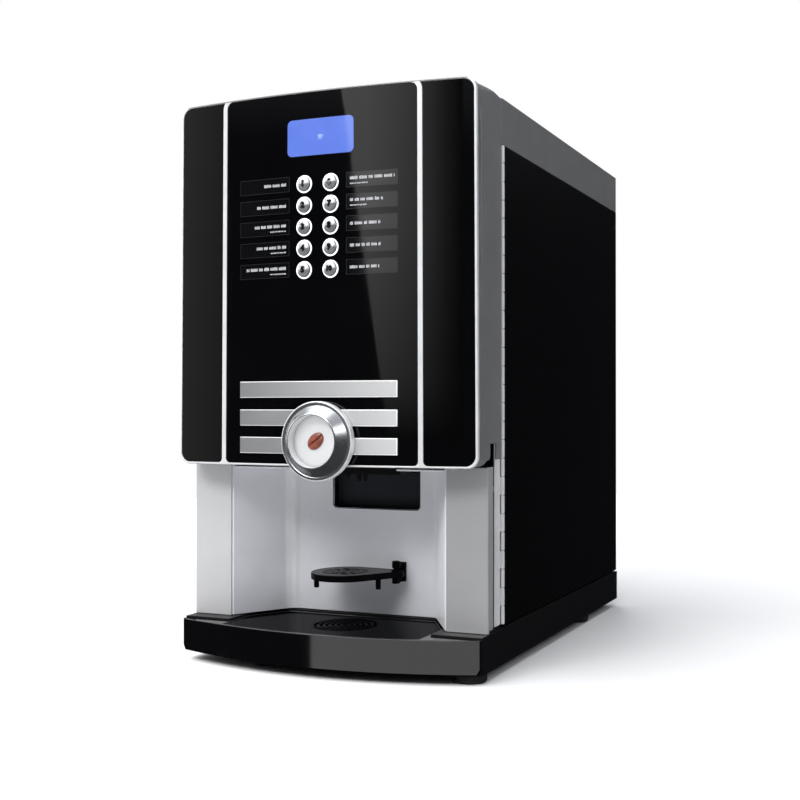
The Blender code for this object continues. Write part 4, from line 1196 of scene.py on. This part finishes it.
def dispense_head():
    """Outlet head with three nozzles, its hoses and fixing clips."""
    low, high = -0.035, 0.072
    shell = slab(low, high, 0.06, 0.118, 0.006, 8, "Z", 0.2322, 0.29)
    neck = block(-0.03, 0.02, 0.1175, PLATE_Y - GAP, 0.255, 0.285)
    parts = [shell, neck]
    for x, z in ((-0.006, 0.2255), (0.0094, 0.2225), (0.0182, 0.2225)):
        tall = 0.233 - z
        parts.append(turned([(0.0014, 0), (0.002, 0), (0.0024, 0.0006), (0.0033, tall), (0.0014, tall)],
            (x, 0.075, z), "Z", 28))
    for x in (-0.024, 0.056):
        parts.append(block(x, x + 0.006, 0.0588, 0.0602, 0.246, 0.276))
    piece("dispense_head_body", parts, "satin_black", "cabinet", ["dispense_head"], bevel=0.0006)
    tubes = [pipe(path(9.4, 150, 285.2, 20, 152, 300, 45, 152, 306, 60, 151, 300), 0.0042),
        pipe(path(-6, 160, 285.2, -20, 165, 310, -60, 185, 330, -86, 197, 348, -98.5, 201, 358.5), 0.0045)]
    clips = [turned(pairs(4.4, 0, 5.4, 0, 5.4, 5, 4.4, 5), (x, y, 0.2851), "Z", 24) for x, y in ((0.0094, 0.15),
        (-0.006, 0.16))]
    guard = slab(-0.0445, 0.0885, 0.18, 0.252, 0.004, 5, "Y", 0.1202, 0.1217)
    piece("outlet_splash_guard", guard, "guard", "cabinet", bevel=0.0004)
    piece("drink_hoses", tubes, "hose", "cabinet")
    piece("hose_clips", clips, "zinc", "cabinet")


def gear(cx, cy, z0, z1, r, teeth, axis="Z"):
    shape = []
    for k in range(teeth):
        for t, q in ((0, 0.9), (0.3, 0.9), (0.42, 1), (0.68, 1), (0.8, 0.9)):
            a = 2 * pi * (k + t) / teeth
            shape.append((cx + q * r * cos(a), cy + q * r * sin(a)))
    return plate(shape, [disc(cx, cy, r * 0.22, 24)], axis, z0, z1)


def brew_group():
    """Brewing chamber on its carriage, with a cam gear and a gear motor."""
    dress("brew_group", "inner", 0.0012, 3)
    front = 0.15
    face = [slab(0.038, 0.152, 0.223, 0.322, 0.006, 6, "Y", front - 0.003, front - 0.0002)]
    for x in (0.048, 0.142):
        for z in (0.233, 0.312):
            face.append(rod((x, front - 0.0032, z), (x, front - 0.008, z), 0.005, 24))
    piece("brew_cover", face, "liner", "cabinet", bevel=0.0007)
    x, z, back = 0.095, 0.27, front - 0.0036
    big = gear(x, z, front - 0.01, back, 0.03, 36, "Y")
    small = gear(0.053, z - 0.001, front - 0.01, back, 0.011, 13, "Y")
    hub = rod((x, back, z), (x, front - 0.014, z), 0.006, 32)
    piece("brew_drive_gears", [big, small, hub], "pale", "cabinet", bevel=0.0002)
    chamber = turned(pairs(0, 0, 38.4, 0, 38.4, 4, 39.6, 5, 39.6, 9, 38.4, 10, 38.4, 50, 39.6, 51, 39.6, 56, 38.4,
        57, 38.4, 60.5, 0, 60.5), (0.095, 0.22, 0.3302), "Z", 96)
    piece("brew_chamber_bands", chamber, "steel_h", "cabinet", bevel=0)
    lever = slab(0.118, 0.13, 0.3, 0.37, 0.006, 6, "Y", front + 0.004, front + 0.009,
        [disc(0.124, 0.362, 0.0026, 20)])
    knob = rod((0.124, front + 0.0038, 0.309), (0.124, front - 0.004, 0.309), 0.0042, 24)
    piece("brew_release_lever", [lever, knob], "red", "cabinet", bevel=0.0008)


def grinder():
    cx, cy, low = 0.095, 0.205, 0.4
    profile = pairs(0, 0, 19.5, 0, 20, 0.6, 30, 10.5, 41.2, 19.5, 42, 21)
    for k in range(7):
        z = 0.0245 + 0.0075 * k
        profile += [(0.042, z), (0.0406, z + 0.001), (0.0406, z + 0.0032), (0.042, z + 0.0042)]
    profile += pairs(42, 79, 41.2, 80.6, 34.6, 96.5, 34, 98.5, 34, 116, 33.2, 118, 0, 118)
    piece("grinder_housing", turned(profile, (cx, cy, low), "Z", 96), "inner", "cabinet", ["grinder"])
    ring = gear(cx, cy, low + 0.1, low + 0.109, 0.0385, 60)
    piece("grind_setting_ring", ring, "brass", "cabinet", bevel=0.0002)
    chute = block(cx - 0.011, cx + 0.011, cy - 0.052, cy - 0.0405, low + 0.03, low + 0.048)
    piece("grinder_chute", chute, "satin_black", "cabinet", bevel=0.0015, segments=3)


def hopper():
    """Smoked hopper, two thirds full of beans, and its shut-off slide."""
    dress("bean_hopper", "smoked", 0.0006)
    random.seed(21)
    cx, cy, count, fill = 0.095, 0.205, 260, 0.598
    beans = []
    for _ in range(count):
        z = 0.527 + 0.09 * random.random() ** 1.3
        half = 0.0385 + (0.07 - 0.0385) * (z - 0.5225) / 0.1375 - 0.003
        x = cx + random.uniform(-half, half)
        y = cy + random.uniform(-half, half)
        if max(abs(x - cx), abs(y - cy)) / half < 0.72 and z < fill:
            z = fill + random.uniform(0, 0.016)
        bean = bean_solid(0.0108, 0.0082, 0.0052, n=12, rings=4)
        for axis in "XYZ":
            turn_about(bean, random.uniform(0, 360), axis)
        shift(bean, (x, y, z))
        beans.append(bean)
    piece("coffee_beans", beans, "coffee", "cabinet")
    collar = slab(0.06, 0.13, 0.17, 0.24, 0.008, 6, "Z", 0.5182, 0.5197, [disc(0.095, 0.205, 0.0205)])
    slide = block(0.076, 0.114, 0.148, 0.169, 0.5184, 0.5196)
    piece("hopper_shut_off", [collar, slide], "steel_h", "cabinet", bevel=0.0003)


def canister():
    """Milk powder canister with its dosing screw, motor and outlet elbow."""
    dress("product_canister", "clear", 0.0008)
    count = 26
    x0, x1, y0, y1 = -0.1622, -0.0478, 0.1278, 0.2822
    bm = bmesh.new()
    top = []
    for j in range(count + 1):
        row = []
        for k in range(count + 1):
            x, y = x0 + (x1 - x0) * k / count, y0 + (y1 - y0) * j / count
            z = 0.6 + 0.012 * sin(3.1 * (x - x0) / (x1 - x0)) * cos(2.2 * (y - y0) / (y1 - y0) - 0.7)
            z += 0.0016 * sin(190 * x + 3 * sin(80 * y))
            row.append(bm.verts.new((x, y, z)))
        top.append(row)
    for j in range(count):
        for k in range(count):
            bm.faces.new((top[j][k], top[j][k + 1], top[j + 1][k + 1], top[j + 1][k]))
    rim = top[0] + [row[-1] for row in top[1:]] + top[-1][-2::-1] + [row[0] for row in top[-2:0:-1]]
    low = [bm.verts.new((v.co.x, v.co.y, 0.4735)) for v in rim]
    stitch(bm, rim, low)
    bm.faces.new(low)
    outward(bm)
    piece("milk_powder_fill", bm, "powder", "cabinet")
    elbow = [rod((-0.105, 0.1248, 0.486), (-0.105, 0.118, 0.486), 0.013, 40),
        pipe(path(-105, 118.5, 486, -105, 112, 485, -105, 110, 478, -105, 110, 466), 0.01, 28)]
    piece("canister_outlet", elbow, "satin_black", "cabinet")
    motor = [rod((-0.105, 0.2852, 0.486), (-0.105, PLATE_Y - 0.0003, 0.486), 0.015, 40),
        block(-0.123, -0.087, 0.288, PLATE_Y - 0.0003, 0.472, 0.5)]
    piece("dosing_motor", motor, "zinc", "cabinet", bevel=0.0006)
    lid = [slab(-0.165, -0.045, 0.125, 0.285, 0.003, 5, "Z", 0.6502, 0.6522), slab(-0.115, -0.095, 0.195, 0.215,
        0.004, 5, "Z", 0.6522, 0.656)]
    piece("canister_lid", lid, "satin_black", "cabinet", bevel=0.0008)


def waste_bin():
    dress("waste_bin", "inner", 0.001)
    lip = slab(0.01, 0.17, 0.125, 0.29, 0.003, 5, "Z", 0.1952, 0.1972,
        [outline(0.0126, 0.1674, 0.1276, 0.2874, 0.002, 5)])
    pull = slab(0.06, 0.12, 0.145, 0.175, 0.01, 8, "Y", 0.12, 0.1245, [outline(0.068, 0.112, 0.152, 0.168, 0.006, 8)])
    piece("waste_bin_pull", [lip, pull], "satin_black", "cabinet", bevel=0.0008)


def mixer():
    """Mixing bowl over its whipper, with the motor behind the plate."""
    centre = (-0.105, 0.205, 0.36)
    profile = pairs(0, 0, 19, 0, 20, 1, 20, 34.5, 21.2, 36.5, 44, 70, 45, 72.5, 45, 79, 45.6, 79.6, 45.6, 82, 45,
        82.6, 45, 84.5, 44.5, 85, 43.5, 85, 43, 84.5, 43, 73, 18, 36, 18, 3, 0, 3)
    piece("mixer_bowl_body", turned(profile, centre, "Z", 96), "pale", "cabinet", ["mixer_bowl"])
    cx, cy = centre[0], centre[1]
    blades = [turned(pairs(0, 0, 4, 0, 4.5, 0.6, 4.5, 18, 3.5, 21.4, 0, 22), (cx, cy, 0.364), "Z", 32)]
    for k in range(6):
        blade = plate(pairs(3.5, 366, 13.8, 366, 12.6, 375.6, 3.5, 376.2), (), "Y", -0.0007, 0.0007)
        turn_about(blade, 18, "X", (0, 0, 0.371))
        turn_about(blade, 60 * k, "Z")
        shift(blade, (cx, cy, 0))
        blades.append(blade)
    piece("whipper_blades", blades, "pale", "whipper", ["whipper_rotor"], bevel=0.0002)
    mount = [block(cx - 0.018, cx + 0.018, 0.2262, PLATE_Y - 0.0003, 0.364, 0.386),
        rod((cx, 0.225, 0.374), (cx, 0.237, 0.374), 0.014, 36)]
    piece("whipper_motor_mount", mount, "satin_black", "cabinet", bevel=0.001)


def boiler():
    """Steel boiler in an insulating jacket, with bands, fittings and pipes."""
    cx, cy, low = -0.1, 0.39, 0.3
    dress("boiler", "steel_v", 0.0008)
    jacket = turned(pairs(55.2, 22, 58.5, 23, 59, 30, 59, 150, 58.5, 157, 55.2, 158), (cx, cy, low), "Z", 96)
    piece("boiler_jacket", jacket, "felt", "cabinet")
    bands = [turned([(0.0591, z), (0.0599, z + 0.0003), (0.0599, z + 0.0077), (0.0591, z + 0.008)], (cx, cy, low),
        "Z", 96) for z in (0.045, 0.125)]
    bands += [block(cx + 0.0595, cx + 0.068, cy - 0.004, cy + 0.004, low + z + 0.001, low + z + 0.007)
        for z in (0.045, 0.125)]
    fit = [turned(pairs(6.2, 0, 11, 0, 11, 6, 6.2, 6), (cx, cy, low + 0.1802), "Z", 6)]
    for x, y in ((cx + 0.028, cy), (cx - 0.028, cy + 0.01)):
        fit.append(turned(pairs(0, 0, 7.5, 0, 7.5, 7, 4.5, 8, 4.5, 14, 0, 14), (x, y, low + 0.1785), "Z", 24))
    piece("boiler_bands", bands, "zinc", "cabinet", bevel=0.0002)
    piece("boiler_fittings", fit, "brass", "cabinet", bevel=0.0003)
    pipes = [pipe([(cx + 0.028, cy, 0.492), (cx + 0.028, cy, 0.52), (cx + 0.05, cy - 0.01, 0.535),
        (0.02, 0.355, 0.53), (0.06, 0.33, 0.5), (0.08, 0.322, 0.42), (0.085, 0.322, 0.34), (0.08, 0.33, 0.25),
        (0.075, 0.345, 0.16), (0.075, 0.35, 0.1065)], 0.003),
        pipe([(cx - 0.028, cy + 0.01, 0.492), (cx - 0.03, cy + 0.012, 0.516), (cx - 0.04, cy - 0.02, 0.528),
        (cx - 0.04, 0.33, 0.5), (cx - 0.04, 0.312, 0.43)], 0.003)]
    piece("copper_pipes", pipes, "copper", "cabinet")


def pump():
    dress("water_pump", "inner", 0.0012)
    coil = turned(pairs(18.2, 4, 20, 5, 20, 32, 18.2, 33), (0.025, 0.365, 0.085), "X", 64)
    piece("pump_coil", coil, "copper", "cabinet")
    feed = pipe(path(120, 578, 95, 120, 560, 95, 122, 520, 85, 118, 460, 72, 105, 420, 75, 100, 390.5, 80), 0.005)
    piece("pump_feed_hose", feed, "hose", "cabinet")


def boards():
    """Control board behind the boiler and keypad board in the door, with their parts."""
    dress("control_board", "board", 0)
    dress("keypad_board", "board", 0)
    random.seed(5)
    y = 0.53
    chips, cans, plugs = [], [], []
    for k in range(14):
        x, z = random.uniform(-0.14, 0.12), random.uniform(0.32, 0.55)
        wide, tall = random.uniform(0.01, 0.026), random.uniform(0.006, 0.016)
        chips.append(block(x, x + wide, y - 0.0045, y - 0.0002, z, z + tall))
    for k in range(6):
        x, z = -0.13 + 0.024 * k, 0.565
        cans.append(rod((x, y - 0.0002, z), (x, y - 0.019, z), 0.006, 24))
    for k in range(8):
        x = -0.145 + 0.038 * k
        plugs.append(block(x, x + 0.026, y - 0.011, y - 0.0002, 0.304, 0.312))
    piece("control_chips", chips, "part_black", "cabinet", bevel=0.0003)
    piece("control_capacitors", cans, "zinc", "cabinet")
    piece("control_connectors", plugs, "pale", "cabinet", bevel=0.0004)
    wires = [(pipe([(-0.14 + 0.012 * k, 0.519, 0.306), (-0.14 + 0.011 * k, 0.515, 0.29),
        (-0.12 + 0.006 * k, 0.518, 0.25), (-0.125 + 0.003 * k, 0.535, 0.16), (-0.1385 + 0.006 * k, 0.544, 0.1)],
        0.0014, 10), k % 3) for k in range(5)]
    piece("mains_wiring", wires, ("red", "blue", "part_black"), "cabinet")
    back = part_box("keypad_board")[1].y - EDGE_Y
    parts = [block(-0.035, 0.04, back + 0.0002, back + 0.006, 0.612, 0.65)]
    parts.append(block(-0.02, 0.02, back + 0.0002, back + 0.008, 0.46, 0.468))
    piece("keypad_parts", parts, "part_black", "door", bevel=0.0004)


def door_inside():
    """Ribbed liner, screws and the lock's bolt."""
    dress("door_liner", "liner", 0.0006)
    low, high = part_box("door_liner")
    back = high.y - EDGE_Y
    ribs = [slab(-0.165 + 0.066 * k, -0.105 + 0.066 * k, 0.34, 0.64, 0.008, 8, "Y", back + 0.0001, back + 0.0011,
        [outline(-0.1625 + 0.066 * k, -0.1075 + 0.066 * k, 0.3425, 0.6375, 0.006, 8)]) for k in range(5)]
    piece("door_liner_ribs", ribs, "liner", "door", bevel=0.0004)
    screws = [screw_head(x, back, z, 1, 0.0028, 0.0008) for x in (-0.174, 0, 0.18) for z in (0.312, 0.668)]
    piece("door_liner_screws", screws, "zinc", "door")
    dress("door_lock", "chrome", 0.0004, 3)
    key = block(-0.20265, -0.20235, 0.0444, 0.0456, 0.3965, 0.4035)
    piece("lock_keyway", key, "part_black", "lock")


def plate_fixings():
    """Fasteners and cable clips on the equipment plate and the front frame."""
    spots = pairs(-186, 70, -186, 330, -186, 610, 186, 70, 186, 330, 186, 610, 0, 610, -20, 330, -20, 470, 10, 400,
        -20, 120)
    screws = [screw_head(x, PLATE_Y, z, -1) for x, z in spots]
    piece("plate_screws", screws, "zinc", "cabinet")
    y = PLATE_Y - 0.006
    wires = [(pipe([(0.004 * k, PLATE_Y - 0.003, 0.08)] + [(x + 0.004 * k, y, z) for x, z in ((-0.006, 0.2),
        (-0.008, 0.34), (-0.01, 0.45), (-0.03, 0.49))] + [(-0.0865, y, 0.483 + 0.004 * k)], 0.0013, 10), k % 3)
        for k in range(4)]
    piece("plate_wiring", wires, ("red", "blue", "part_black"), "cabinet")
    straps = [block(-0.012, 0.014, PLATE_Y - 0.008, PLATE_Y - 0.0075, z, z + 0.004) for z in (0.16, 0.3, 0.42)]
    piece("cable_straps", straps, "part_black", "cabinet", bevel=0.0002)


for build in (door_front, display, keypad, labels, trim_bars, medallion, emblem, door_body, columns, niche,
        cup_shelf, tray, hinge, cabinet, rear, dispense_head, brew_group, grinder, hopper, canister, waste_bin,
        mixer, boiler, pump, boards, plate_fixings, door_inside):
    build()
